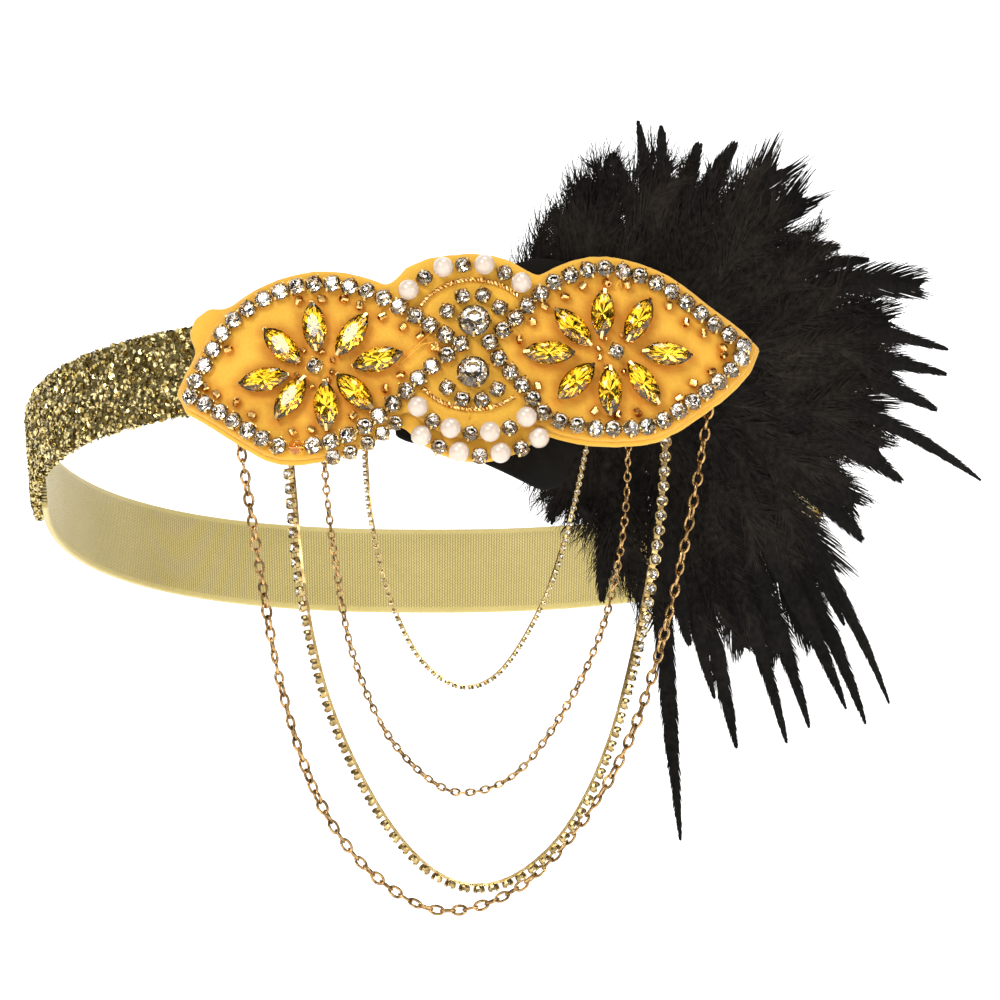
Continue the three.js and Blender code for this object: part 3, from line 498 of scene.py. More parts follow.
bump = node(tree, "ShaderNodeBump", {"Strength": 0.5, "Distance": 0.0002, "Height": height})
tree.links.new(bump.outputs[0], shader.inputs["Normal"])

# %% Elastic strap
ELASTIC_THICKNESS = 1.2 * MM
ELASTIC_LAP = math.radians(11)
SEWN_GAP = 0.3 * MM

strap("elastic_strap", GLITTER_PAST_SIDE - ELASTIC_LAP, math.pi - GLITTER_PAST_SIDE + ELASTIC_LAP,
      -GLITTER_THICKNESS - SEWN_GAP, ELASTIC_THICKNESS, ELASTIC_HEIGHT, 220, 8, elastic,
      ["elastic_band"], wave=0.05 * MM)

# %% [markdown]
# The badge is bent round an upright axis, so a point of it is given by its distance across, its height
# on the loop's own level, and how far it stands out from a reference curve.

# %% Badge surface
APPLIQUE_X = 9.2 * MM
APPLIQUE_RADIUS = 150 * MM
AXIS_Y = APPLIQUE_RADIUS - LOOP_HALF_DEPTH


def badge_point(across, height, out):
    across, height, out = np.broadcast_arrays(across, height, out)
    depth = AXIS_Y - np.sqrt((APPLIQUE_RADIUS + out) ** 2 - (across - APPLIQUE_X) ** 2)
    return tilted(np.stack([across, depth, height], -1))


def badge_place(points):
    """The same three numbers, from points in space."""
    level = levelled(points)
    out = np.hypot(level[..., 0] - APPLIQUE_X, level[..., 1] - AXIS_Y) - APPLIQUE_RADIUS
    return level[..., 0], level[..., 2], out


# %% [markdown]
# The stones' places are read back from the frame. Each stone there has one flat table that faces out
# of the badge, so flat faces with that normal are gathered into tables: the middle of a table is the
# stone's middle, its normal is the stone's lean, and its longest way is how a pointed stone lies.

# %% Find the stones
STONE_LEVEL = 8 * MM
FACES_OUT = 0.9985
TABLE_CORNERS = 8
LOWER_BAR = 0.6 * MM


def badge_outward(x):
    """The way out of the badge at a distance across it."""
    lean = np.arcsin((np.asarray(x) - APPLIQUE_X) / (APPLIQUE_RADIUS + STONE_LEVEL))
    return tilted(np.stack([np.sin(lean), -np.cos(lean), 0 * lean], -1))


def flat_tables(name):
    """Rows of (middle, normal, long way) for the flat tables of a stone node, without its bars."""
    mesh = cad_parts[name].data
    corners = np.array([[mesh.vertices[i].co for i in face.vertices] for face in mesh.polygons])
    normals = unit(np.cross(corners[:, 1] - corners[:, 0], corners[:, 2] - corners[:, 0]))
    facing = (normals * badge_outward(corners[:, :, 0].mean(1))).sum(1) > FACES_OUT
    group_of = {}
    for face, normal in zip(corners[facing], normals[facing]):
        keys = [tuple(np.round(corner / (2e-6)).astype(int)) for corner in face]
        found = {id(group_of[key]): group_of[key] for key in keys if key in group_of}
        merged = {"points": {}, "normal": normal}
        for other in found.values():
            merged["points"].update(other["points"])
        merged["points"].update(zip(keys, face))
        for key in merged["points"]:
            group_of[key] = merged
    tables = []
    for table in {id(group): group for group in group_of.values()}.values():
        points = np.array(list(table["points"].values()))
        if len(points) >= TABLE_CORNERS:
            middle = points.mean(0)
            long_way = np.linalg.svd(points - middle)[2][0]
            tables.append((middle, table["normal"], long_way))
    stands = [badge_place(middle)[2] for middle, _, _ in tables]
    return [table for table, stand in zip(tables, stands) if stand > max(stands) - LOWER_BAR]


def seats(names, height):
    """One matrix a stone: its own Z out of the badge, its Y the long way, its origin on the felt."""
    found = [table for name in names for table in flat_tables(name)]
    middles, outs, longs = (np.array([table[i] for table in found]) for i in range(3))
    longs = unit(longs - (longs * outs).sum(1, keepdims=True) * outs)
    return matrices_of(middles - outs * height, np.cross(longs, outs), longs, outs)


border_tables = {side: flat_tables(f"{side}_stone_border") for side in ("left", "right")}
print("border stones:", {side: len(found) for side, found in border_tables.items()})

# %% [markdown]
# The badge is a sandwich of two felts. Their outlines come from the frame too. A layer's front face is
# laid on a fine grid of cells, the narrow notches that let the chains through are closed again, since
# real felt has none, and the edge of the covered cells is walked round and smoothed.

# %% Felt outlines
CELL = 0.25 * MM
NOTCH_REACH = 1.9 * MM
EDGE_SMOOTHING = 0.55 * MM


def node_points(name):
    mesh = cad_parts[name].data
    return np.array([vertex.co for vertex in mesh.vertices])


def covered_cells(triangles, low, wide, tall):
    """A grid of cells, true where a cell's middle lies in one of the flat triangles."""
    covered = np.zeros((wide, tall), bool)
    for corners in (triangles - low) / CELL:
        i0, j0 = np.floor(corners.min(0)).astype(int)
        i1, j1 = np.ceil(corners.max(0)).astype(int) + 1
        i, j = np.meshgrid(np.arange(i0, i1) + 0.5, np.arange(j0, j1) + 0.5, indexing="ij")
        signs = []
        for a, b in zip(corners, np.roll(corners, -1, axis=0)):
            signs.append((b[0] - a[0]) * (j - a[1]) - (b[1] - a[1]) * (i - a[0]))
        signs = np.array(signs)
        covered[i0:i1, j0:j1] |= (signs >= -1e-9).all(0) | (signs <= 1e-9).all(0)
    return covered


def grown(cells, reach):
    """The cells with every cell within reach of them."""
    made = cells.copy()
    for i in range(-reach, reach + 1):
        for j in range(-reach, reach + 1):
            if i * i + j * j <= reach * reach:
                made |= np.roll(cells, (i, j), (0, 1))
    return made


def edge_walk(cells):
    """The longest closed walk along the sides of the covered cells."""
    following = {}
    for (di, dj), (a, b) in (((1, 0), ((1, 0), (1, 1))), ((0, 1), ((1, 1), (0, 1))), ((-1, 0), ((0, 1), (0, 0))),
                             ((0, -1), ((0, 0), (1, 0)))):
        for i, j in np.argwhere(cells & ~np.roll(cells, (-di, -dj), (0, 1))):
            following.setdefault((i + a[0], j + a[1]), []).append((i + b[0], j + b[1]))
    longest = []
    while following:
        start = next(iter(following))
        walk, place = [start], start
        while place in following:
            after = following[place].pop()
            if not following[place]:
                del following[place]
            walk.append(after)
            place = after
        longest = max(longest, walk, key=len)
    return np.array(longest[:-1], float)


def outline_of(name, pitch):
    """A felt node's outline as evenly spaced (across, height) points, and its rear and front."""
    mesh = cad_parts[name].data
    across, height, out = badge_place(node_points(name))
    rear, front = out.min(), out.max()
    flat = np.stack([across, height], -1)
    faces = np.array([face.vertices for face in mesh.polygons])
    triangles = flat[faces[out[faces].min(1) > (rear + front) / 2]]
    reach = round(NOTCH_REACH / CELL)
    low = flat.min(0) - (reach + 2) * CELL
    wide, tall = np.ceil((flat.max(0) - low) / CELL).astype(int) + reach + 2
    closed = ~grown(~grown(covered_cells(triangles, low, wide, tall), reach), reach)
    walk = edge_walk(closed) * CELL + low
    steps = np.arange(-8, 9) * CELL
    weights = np.exp(-(steps / EDGE_SMOOTHING) ** 2 / 2)
    smooth = sum(np.roll(walk, shift, axis=0) * weight for shift, weight in zip(range(-8, 9), weights / weights.sum()))
    return resampled(np.vstack([smooth, smooth[:1]]), pitch)[:-1], rear, front


def resampled(points, pitch):
    """Evenly spaced points along a polyline, near a pitch."""
    along = np.concatenate([[0], np.cumsum(np.linalg.norm(np.diff(points, axis=0), axis=1))])
    places = np.linspace(0, along[-1], max(2, round(along[-1] / pitch)) + 1)
    return np.stack([np.interp(places, along, points[:, i]) for i in range(points.shape[1])], -1)


# %% [markdown]
# Felt is soft at its cut edge, so each layer is a thin pad whose thickness fades to nothing at the
# outline over half its own thickness. Both faces come from one flat triangulation.

# %% Felt maker
OUTLINE_PITCH = 0.7 * MM
GRID_PITCH = 1.1 * MM
NEAR_STONE_REACH = 1.7 * MM


def distance_to(points, others):
    nearest = np.full(len(points), 1.0)
    for start in range(0, len(others), 400):
        gap = np.linalg.norm(points[:, None, :] - others[None, start:start + 400, :], axis=2)
        nearest = np.minimum(nearest, gap.min(1))
    return nearest


def inside_outline(points, outline):
    ahead = np.roll(outline, -1, axis=0)
    crosses = (outline[None, :, 1] > points[:, None, 1]) != (ahead[None, :, 1] > points[:, None, 1])
    rise = ahead[:, 1] - outline[:, 1]
    rise = np.where(np.abs(rise) < 1e-12, 1e-12, rise)
    at = outline[:, 0] + (points[:, None, 1] - outline[None, :, 1]) * (ahead[:, 0] - outline[:, 0]) / rise
    return (crosses & (points[:, None, 0] < at)).sum(1) % 2 == 1


def felt_layer(name, outline, rear, front, material, stones=(), stands_for=()):
    """A layer of felt between two distances out from the badge's curve, darkened near the stones."""
    thickness = front - rear
    ahead = np.roll(outline, -1, axis=0) - np.roll(outline, 1, axis=0)
    inward = unit(np.stack([-ahead[:, 1], ahead[:, 0]], -1))
    if inside_outline((outline + inward * 0.3 * MM)[:1], outline)[0] == 0:
        inward = -inward
    inner = np.concatenate([outline + inward * thickness * share for share in (0.06, 0.2, 0.5)])
    low, high = outline.min(0), outline.max(0)
    grid = np.stack(np.meshgrid(np.arange(low[0], high[0], GRID_PITCH), np.arange(low[1], high[1], GRID_PITCH)), -1)
    grid = grid.reshape(-1, 2)
    grid = grid[inside_outline(grid, outline)]
    grid = grid[distance_to(grid, outline) > thickness * 0.9]
    inner = inner[inside_outline(inner, outline)]
    flat = np.concatenate([outline, inner, grid])
    edges = [(i, (i + 1) % len(outline)) for i in range(len(outline))]
    points, _, faces, *_ = delaunay_2d_cdt([Vector(point) for point in flat], edges, [], 1, 1e-7)
    points = np.array([tuple(point) for point in points])
    deep = np.clip(distance_to(points, outline) / (thickness / 2), 0, 1)
    on_edge = deep < 1e-3
    half = thickness / 2 * np.sqrt(np.clip(1 - (1 - deep) ** 2, 0, 1))
    puff = 0.09 * MM * np.sin(points[:, 0] / (2.3 * MM)) * np.sin(points[:, 1] / (1.9 * MM) + 1) * deep
    middle = (rear + front) / 2
    faces = [list(face) for face in faces]
    count = len(points)
    back_number = np.where(on_edge, np.arange(count), count + np.cumsum(~on_edge) - 1)
    ahead_points = badge_point(points[:, 0], points[:, 1], middle + half - np.abs(puff))
    back_points = badge_point(points[:, 0], points[:, 1], middle - half)[~on_edge]
    back_faces = [[int(back_number[i]) for i in face[::-1]] for face in faces]
    made = piece(name, [(shape(np.concatenate([ahead_points, back_points]), faces + back_faces), material)],
                 smooth=True, stands_for=stands_for)
    # The front felt is drawn darker and more orange near every stone, petal and bead, fading out within about two
    # millimetres.
    near_stones = np.zeros(count + int((~on_edge).sum()))
    if len(stones):
        near_stones[:count] = np.exp(-((distance_to(points, stones) / NEAR_STONE_REACH) ** 2))
    layer = made.data.attributes.new("near_stones", "FLOAT", "POINT")
    layer.data.foreach_set("value", near_stones)


# %% Bead places
BEAD_INSET = 2.9 * MM
BEAD_PITCH = 4.2 * MM
BEAD_SKIP = 0.22
BEAD_CLEAR = 2.2 * MM
CENTRE_BEAD_RADIUS = 3.6 * MM
PETAL_SIDES = ("right", "upper_right", "top", "upper_left", "left", "lower_left", "bottom", "lower_right")
petals = [f"{side}_petal_{way}" for side in ("left", "right") for way in PETAL_SIDES]


def flat_place(points):
    """Points in space as (across, height) on the badge."""
    return np.stack(badge_place(np.asarray(points))[:2], -1)


border_places = {side: flat_place([table[0] for table in found]) for side, found in border_tables.items()}
all_borders = np.concatenate(list(border_places.values()))
petal_points = flat_place(np.concatenate([node_points(name) for name in petals]))
flower_middles = {side: flat_place([flat_tables(f"{side}_flower_centre")[0][0]])[0] for side in ("left", "right")}


def border_beads(side):
    """Places for seed beads on a line inside one medallion's border, with some left out."""
    stones = border_places[side]
    ways = stones - flower_middles[side]
    stones = stones[np.argsort(np.arctan2(ways[:, 1], ways[:, 0]))]
    ahead = np.roll(stones, -1, axis=0) - np.roll(stones, 1, axis=0)
    line = stones + unit(np.stack([-ahead[:, 1], ahead[:, 0]], -1)) * BEAD_INSET
    spots = resampled(np.vstack([line, line[:1]]), BEAD_PITCH)[:-1]
    spots = spots + rng.normal(0, 0.25 * MM, spots.shape)
    kept = (rng.uniform(0, 1, len(spots)) > BEAD_SKIP) & (distance_to(spots, all_borders) > BEAD_CLEAR)
    return spots[kept & (distance_to(spots, petal_points) > BEAD_CLEAR * 0.6)]


def centre_beads(side):
    """Small beads between the petals' inner points."""
    middle = flower_middles[side]
    points = flat_place([flat_tables(name)[0][0] for name in petals if name.startswith(side)])
    angles = np.sort(np.arctan2(points[:, 1] - middle[1], points[:, 0] - middle[0]))
    between = (angles + np.append(angles[1:], angles[0] + 2 * math.pi)) / 2 + rng.normal(0, 0.12, len(angles))
    reach = CENTRE_BEAD_RADIUS * rng.uniform(0.92, 1.12, len(angles))
    return middle + np.stack([np.cos(between), np.sin(between)], -1) * reach[:, None]


seed_places = np.concatenate([border_beads("left"), border_beads("right")])
small_places = np.concatenate([centre_beads("left"), centre_beads("right")])
print("seed beads:", len(seed_places), "small beads:", len(small_places))

# %% Felt finish
def felt_finish(name, dark, light, near_stone_color, sheen, specular):
    material, tree, shader = finish_of(name, roughness=0.85, sheen_weight=sheen, sheen_roughness=0.4,
                                       specular_ior_level=specular)
    grain = placed_group(tree, SOFT_GRAIN, Fibre_scale=1800.0, Cloud_scale=160.0)
    near_stones = node(tree, "ShaderNodeAttribute", attribute_name="near_stones").outputs["Fac"]
    clean = blended(tree, grain["Shade"], dark, light)
    # Near the stones the felt's colour is drawn towards a darker orange, by the per-point factor set in felt_layer.
    tree.links.new(blended(tree, math_node(tree, "MULTIPLY", near_stones, 0.85), clean, near_stone_color),
                   shader.inputs["Base Color"])
    bump = node(tree, "ShaderNodeBump", {"Strength": 0.35, "Distance": 0.0002, "Height": grain["Height"]})
    tree.links.new(bump.outputs[0], shader.inputs["Normal"])
    return material


yellow_felt = felt_finish("yellow_felt", (0.58, 0.29, 0.016), (0.84, 0.48, 0.055), (0.50, 0.15, 0.003), 0.35, 0.5)
black_felt = felt_finish("black_felt", (0.0025, 0.002, 0.0015), (0.009, 0.008, 0.006), (0.002, 0.002, 0.002), 0.01, 0.1)

# %% Felt layers
# Stones, petals and beads, near which the front felt is drawn darker and more orange.
darkening_places = np.concatenate([all_borders, petal_points, seed_places, small_places])
back_outline, FELT_REAR, back_front = outline_of("felt_backing", OUTLINE_PITCH)
front_outline, front_rear, FELT_TOP = outline_of("felt_base", OUTLINE_PITCH)
felt_layer("felt_back", back_outline, FELT_REAR, back_front, yellow_felt,
           stands_for=["felt_backing"])
felt_layer("felt_front", front_outline, front_rear, FELT_TOP, yellow_felt, darkening_places,
           ["felt_base"])

# %% [markdown]
# A third felt is black. The quills are sewn to it, and it shows under the badge as a smooth black edge.
# Its corners are given across and up on the loop's own level, in millimetres, and rounded off.

# %% Feather pad
PAD_CORNERS = [(-6.5, -17.0), (8, -20.8), (15, -24.0), (22.2, -27.6), (26, -26.0), (28.5, -19.0), (50, -12),
               (60, 0), (48, 12), (30, 18), (22, 19.4), (15.0, 17.6), (10, 12), (8, -6), (2, -11), (-6, -13.5)]
PAD_THICKNESS = 1.2 * MM
PAD_GAP = 0.2 * MM


def rounded_off(corners, times):
    """A closed line of corners with each corner cut at a quarter, some times over."""
    points = np.array(corners, float)
    for _ in range(times):
        ahead = np.roll(points, -1, axis=0)
        points = np.stack([points * 0.82 + ahead * 0.18, points * 0.18 + ahead * 0.82], 1).reshape(-1, 2)
    return points


pad_line = rounded_off(PAD_CORNERS, 3) * MM
PAD_REAR = FELT_REAR - PAD_GAP - PAD_THICKNESS
felt_layer("feather_pad", resampled(np.vstack([pad_line, pad_line[:1]]), OUTLINE_PITCH)[:-1], PAD_REAR,
           FELT_REAR - PAD_GAP, black_felt)

# %% [markdown]
# A rhinestone is a cut glass with mirror foil on its back. The crown's facets are clear glass and the
# back facets are a mirror, all in one closed body, so light comes in, bounces off the foil and leaves
# by another facet. That is what makes the black and white flashes.

# %% Cut stones
TABLE_SHARE = 0.55
KITE_SHARE = 0.80
KITE_HEIGHT = 0.58


def ring_points(share, height, count, phase, wide, long):
    angles = (np.arange(count) + phase) * 2 * math.pi / count
    return [(wide * share * math.cos(a), long * share * math.sin(a), height) for a in angles]


def brilliant(crown, deep, wide=1.0, long=1.0, turn=0.0):
    """Crown and back facets of a round cut, one across unless it is stretched."""
    points = ring_points(TABLE_SHARE, crown, 8, turn, wide, long)
    points += ring_points(KITE_SHARE, crown * KITE_HEIGHT, 8, 0.5 + turn, wide, long)
    points += ring_points(1, 0, 16, turn * 2, wide, long)
    points += ring_points(0.32, -deep * 0.72, 8, 0.5 + turn, wide, long)
    points += [(0, 0, -deep)]
    crown_faces = [list(range(8))]
    back_faces = []
    for i in range(8):
        after, before = (i + 1) % 8, (i - 1) % 8
        g0, g1, g2 = 16 + 2 * i, 16 + (2 * i + 1) % 16, 16 + (2 * i + 2) % 16
        crown_faces += [[i, 8 + i, after], [i, 8 + before, g0, 8 + i], [8 + i, g0, g1], [8 + i, g1, g2]]
        back_faces += [[g0, 32 + i, g1], [g1, 32 + i, g2], [g0, 32 + before, 40, 32 + i]]
    return points, crown_faces, back_faces


def leaf_cut(half_wide, half_long, crown, deep):
    """Crown and back facets of a stone pointed at both ends, with a flat table and large facets."""
    def outline(share, height, count, phase=0.0):
        angles = (np.arange(count) + phase) * 2 * math.pi / count
        wide = np.sign(np.cos(angles)) * np.abs(np.cos(angles)) ** 1.3
        return [(half_wide * share * x, half_long * share * math.sin(a), height) for x, a in zip(wide, angles)]

    points = outline(0.50, crown, 8) + outline(0.78, crown * 0.6, 8, 0.5) + outline(1, 0, 16)
    points += outline(0.45, -deep * 0.75, 8, 0.5) + [(0, 0, -deep)]
    crown_faces = [list(range(8))]
    back_faces = []
    for i in range(8):
        after, before = (i + 1) % 8, (i - 1) % 8
        g0, g1, g2 = 16 + 2 * i, 16 + (2 * i + 1) % 16, 16 + (2 * i + 2) % 16
        crown_faces += [[i, 8 + i, after], [i, 8 + before, g0, 8 + i], [8 + i, g0, g1], [8 + i, g1, g2]]
        back_faces += [[g0, 32 + i, g1], [g1, 32 + i, g2], [g0, 32 + before, 40, 32 + i]]
    return points, crown_faces, back_faces


def stone_parts(cut, lift, radius, matrices, glass, foil):
    points, crown_faces, back_faces = cut
    points = np.asarray(points) * radius + [0, 0, lift]
    joined, loops, sizes = copies(shape(points, crown_faces + back_faces), matrices)
    is_crown = np.tile([True] * len(crown_faces) + [False] * len(back_faces), len(matrices))
    return (joined, loops, sizes), is_crown, (glass, foil)


def stones_piece(name, groups, extra, stands_for):
    """Stones as one mesh a stone kind, with glass crowns and foil backs, and their metal beside them."""
    made = piece(name, [(group[0], group[2][0]) for group in groups] + extra, stands_for=stands_for)
    mesh = made.data
    foil_slot = len(mesh.materials)
    mesh.materials.append(groups[0][2][1])
    numbers = np.zeros(len(mesh.polygons), np.int32)
    mesh.polygons.foreach_get("material_index", numbers)
    crowns = np.concatenate([group[1] for group in groups])
    numbers[:len(crowns)][~crowns] = foil_slot
    mesh.polygons.foreach_set("material_index", numbers)
    mesh.update()
    return made


def tilted_stones(matrices, amount):
    """The same seats with each stone turned and rocked a little, as hand-set stones are."""
    turned = matrices.copy()
    for i in range(len(turned)):
        spin = Matrix.Rotation(rng.uniform(0, math.pi / 4), 4, "Z") if amount > 0.04 else Matrix.Identity(4)
        rock = Matrix.Rotation(rng.normal(0, amount), 4, "X") @ Matrix.Rotation(rng.normal(0, amount), 4, "Y")
        turned[i] = turned[i] @ np.array(rock @ spin)
    return turned


def revolved(section, sides, phase=0.0):
    """A closed ring-shaped wall from (radius, height) corners of its section."""
    angles = (np.arange(sides) + phase) * 2 * math.pi / sides
    stations = [[(r * math.cos(a), r * math.sin(a), z) for r, z in section] for a in angles]
    points, loops, sizes = rings(np.array(stations), closed=True)
    return points, loops, sizes


def bar(start, end, half_wide, half_thick):
    """A little four-sided bar between two points in a plane through the stone's axis."""
    start, end = np.array(start, float), np.array(end, float)
    way = unit(end - start)
    side = unit(np.cross(way, [0.0, 0.0, 1.0]) if abs(way[2]) < 0.99 else np.array([-start[1], start[0], 0.0]))
    thick = np.cross(way, side)
    corner = [side * half_wide + thick * half_thick, -side * half_wide + thick * half_thick,
              -side * half_wide - thick * half_thick, side * half_wide - thick * half_thick]
    return rings(np.array([[start + c for c in corner], [end + c for c in corner]]))


def claw_cup(radius, setting, crown, claws=4, foot=0.3 * MM, wire=0.2 * MM, turn=0.5):
    """A gold cup that stays under its stone, with bent claws that reach over the stone's edge."""
    wall = revolved([(radius * 0.72, -foot), (radius * 0.93, setting - 0.1 * MM), (radius * 0.80, setting - 0.1 * MM),
                     (radius * 0.60, -foot)], 12)
    parts = [wall]
    for i in range(claws):
        angle = (i + turn) * 2 * math.pi / claws
        way = np.array([math.cos(angle), math.sin(angle), 0])
        knee = way * radius * 1.02 + [0, 0, setting + crown * 0.25]
        parts.append(bar(way * radius * 0.94, knee, wire, wire * 0.8))
        parts.append(bar(knee, way * radius * 0.76 + [0, 0, setting + crown * 0.85], wire, wire * 0.7))
    return together(parts)


# %% Stone finishes
def glass_of(name, tint, smoke, patch_scale, ior=1.6):
    material, tree, shader = finish_of(name, roughness=0.0, ior=ior, transmission_weight=1.0)
    color = placed_group(tree, STONE_TINT, Tint=(*tint, 1), Smoke=(*smoke, 1), Patch_scale=patch_scale)
    tree.links.new(color["Color"], shader.inputs["Base Color"])
    return material


def foil_of(name, color, roughness=0.04):
    return finish_of(name, base_color=(*color, 1), metallic=1.0, roughness=roughness)[0]


def metal_of(name, bright, dark, patch_scale):
    material, tree, shader = finish_of(name, metallic=1.0)
    color = placed_group(tree, OLD_GOLD, Bright=(*bright, 1), Dark=(*dark, 1), Patch_scale=patch_scale)
    tree.links.new(color["Color"], shader.inputs["Base Color"])
    tree.links.new(color["Roughness"], shader.inputs["Roughness"])
    return material


clear_glass = glass_of("clear_glass", (0.94, 0.92, 0.90), (0.66, 0.58, 0.50), 300.0)
topaz_glass = glass_of("topaz_glass", (1.0, 0.78, 0.11), (0.92, 0.52, 0.015), 160.0, 1.5)
silver_foil = foil_of("silver_foil", (0.95, 0.95, 0.95))
gold_foil = foil_of("gold_foil", (0.98, 0.86, 0.52), 0.10)
bright_gold = metal_of("bright_gold", (0.80, 0.60, 0.27), (0.40, 0.26, 0.09), 500.0)
antique_gold = metal_of("antique_gold", (0.60, 0.37, 0.15), (0.13, 0.07, 0.02), 700.0)
cup_gold = metal_of("cup_gold", (0.62, 0.47, 0.21), (0.26, 0.18, 0.07), 600.0)
bead_gold = metal_of("bead_gold", (0.98, 0.66, 0.26), (0.62, 0.30, 0.06), 900.0)

# %% [markdown]
# The stones of one kind share one mesh. Each sits in a gold cup that hides under it, so that from the
# front only the four claws show. The yellow leaves have a claw at both points.

# %% Round stones
BORDER_STONE = {"radius": 1.74 * MM, "setting": 1.0 * MM, "crown": 0.75 * MM}
SMALL_STONE = {"radius": 1.6 * MM, "setting": 1.0 * MM, "crown": 0.75 * MM}
CRYSTAL = {"radius": 3.25 * MM, "setting": 1.6 * MM, "crown": 1.4 * MM}
STONE_SINK = 0.08 * MM


def stones_at(name, places, size, rock, foot=0.3 * MM, nodes=()):
    cup = copies(claw_cup(size["radius"], size["setting"], size["crown"], foot=foot), places)
    cut = brilliant(0.42, 0.55)
    group = stone_parts(cut, size["setting"] - STONE_SINK, size["radius"] * 0.98, tilted_stones(places, rock),
                        clear_glass, silver_foil)
    print(name, "stones:", len(places))
    return stones_piece(name, [group], [(cup, bright_gold)], nodes)


def round_stones(name, nodes, size, rock):
    return stones_at(name, seats(nodes, size["setting"] + size["crown"]), size, rock, nodes=nodes)


small_row_nodes = [f"{row}_row_stone_{i}" for row in ("upper", "lower", "hem") for i in (1, 2, 3)]
round_stones("border_stones", ["left_stone_border", "right_stone_border"], BORDER_STONE, 0.10)
round_stones("small_stones", ["upper_small_stones", "lower_small_stones", "left_flower_centre",
                              "right_flower_centre", *small_row_nodes], SMALL_STONE, 0.09)
round_stones("crystals", ["upper_crystal", "lower_crystal"], CRYSTAL, 0.03)

# %% Leaf stones
PETAL_HALF_LONG = 4.85 * MM
PETAL_HALF_WIDE = 2.3 * MM
PETAL_SETTING = 1.5 * MM
PETAL_CROWN = 1.1 * MM


def leaf_setting():
    """A low gold cup under a leaf stone, and its claws."""
    angles = np.arange(24) * 2 * math.pi / 24
    wide = np.sign(np.cos(angles)) * np.abs(np.cos(angles)) ** 1.3
    flat = np.stack([PETAL_HALF_WIDE * wide, PETAL_HALF_LONG * np.sin(angles), 0 * angles], -1)
    levels = [(0.80, -0.3 * MM), (0.95, PETAL_SETTING - 0.2 * MM), (0.85, PETAL_SETTING - 0.2 * MM), (0.70, -0.3 * MM)]
    stations = np.stack([flat * share + [0, 0, height] for share, height in levels], 1)
    parts = [rings(stations, closed=True)]
    for way in (-1, 1):
        foot = np.array([0, way * (PETAL_HALF_LONG - 0.1 * MM), 0])
        knee = np.array([0, way * (PETAL_HALF_LONG + 0.1 * MM), PETAL_SETTING + 0.2 * MM])
        tip = np.array([0, way * (PETAL_HALF_LONG - 1.1 * MM), PETAL_SETTING + 0.75 * MM])
        parts += [bar(foot, knee, 0.32 * MM, 0.16 * MM), bar(knee, tip, 0.28 * MM, 0.14 * MM)]
    return together(parts)


petal_places = seats(petals, PETAL_SETTING + PETAL_CROWN)
leaf = stone_parts(leaf_cut(PETAL_HALF_WIDE * 1.04, PETAL_HALF_LONG, PETAL_CROWN, 1.1 * MM), PETAL_SETTING, 1.0,
                   tilted_stones(petal_places, 0.03), topaz_glass, gold_foil)
stones_piece("leaf_stones", [leaf], [(copies(leaf_setting(), petal_places), bright_gold)], petals)
print("leaf stones:", len(petal_places))

# %% [markdown]
# Pearls are strung beads, so each has a drilled hole with a thin lip. The amber bead in the border is
# one of the same kind in glass.

# %% Pearls
PEARL_RADIUS = 2.0 * MM
BEAD_RADIUS = 1.5 * MM
HOLE_SHARE = 0.22


def drilled_bead(radius, sides=20, rows=14):
    """A bead with its hole along its own X."""
    low = math.asin(HOLE_SHARE)
    arc = [(radius * math.sin(a), radius * math.cos(a)) for a in np.linspace(low, math.pi - low, rows)]
    bore = radius * HOLE_SHARE * 0.8
    section = arc + [(bore, -radius * 0.90), (bore, radius * 0.90)]
    points, loops, sizes = revolved(section, sides)
    return points[:, [2, 0, 1]], loops, sizes


def bead_places(names):
    middles = np.array([(node_points(name).min(0) + node_points(name).max(0)) / 2 for name in names])
    outs = badge_outward(middles[:, 0])
    ways = unit(np.cross(outs, [0.0, 0.0, 1.0]) + rng.normal(0, 0.35, (len(names), 3)))
    ways = unit(ways - (ways * outs).sum(1, keepdims=True) * outs)
    sides = unit(np.cross(ways, outs))
    return matrices_of(middles, ways, sides, np.cross(ways, sides))


pearl, tree, shader = finish_of("pearl", roughness=0.28, coat_weight=1.0, coat_roughness=0.06, sheen_weight=0.1)
luster = placed_group(tree, STONE_TINT, Tint=(0.66, 0.55, 0.45, 1), Smoke=(0.54, 0.42, 0.33, 1), Patch_scale=300.0)
tree.links.new(luster["Color"], shader.inputs["Base Color"])
amber = glass_of("amber_glass", (1.0, 0.72, 0.10), (0.90, 0.42, 0.01), 500.0, 1.5)

pearl_nodes = [f"{row}_pearl_{i}" for row in ("upper", "lower", "hem") for i in (1, 2, 3, 4)]
piece("pearls", [(copies(drilled_bead(PEARL_RADIUS), bead_places(pearl_nodes)), pearl)], True, pearl_nodes)
piece("amber_bead_drilled", [(copies(drilled_bead(BEAD_RADIUS), bead_places(["amber_bead"])), amber)],
      True, ["amber_bead"])

# %% [markdown]
# Small gold beads fill the badge out: short seed beads inside the borders, smaller ones between the
# petals, and two bows of twisted bugle beads round the large stones. The seed beads are tubes with open holes, the
# bugles closed bars.

# %% Seed and bugle beads
SEED = {"radius": 0.78 * MM, "half": 0.8 * MM}
SMALL_SEED = {"radius": 0.55 * MM, "half": 0.5 * MM}
BUGLE = {"radius": 0.44 * MM, "half": 1.2 * MM}
BUGLE_TWIST = 1.6
CROSSING = np.array([-0.4, 0.85]) * MM + [APPLIQUE_X, 0]
BOWS = [
    {"radius": 12.6, "from": 145, "to": 47, "beads": "bbbobbobbb"},
    {"radius": 13.3, "from": 222, "to": 306, "beads": "obbobbbobb"},
]


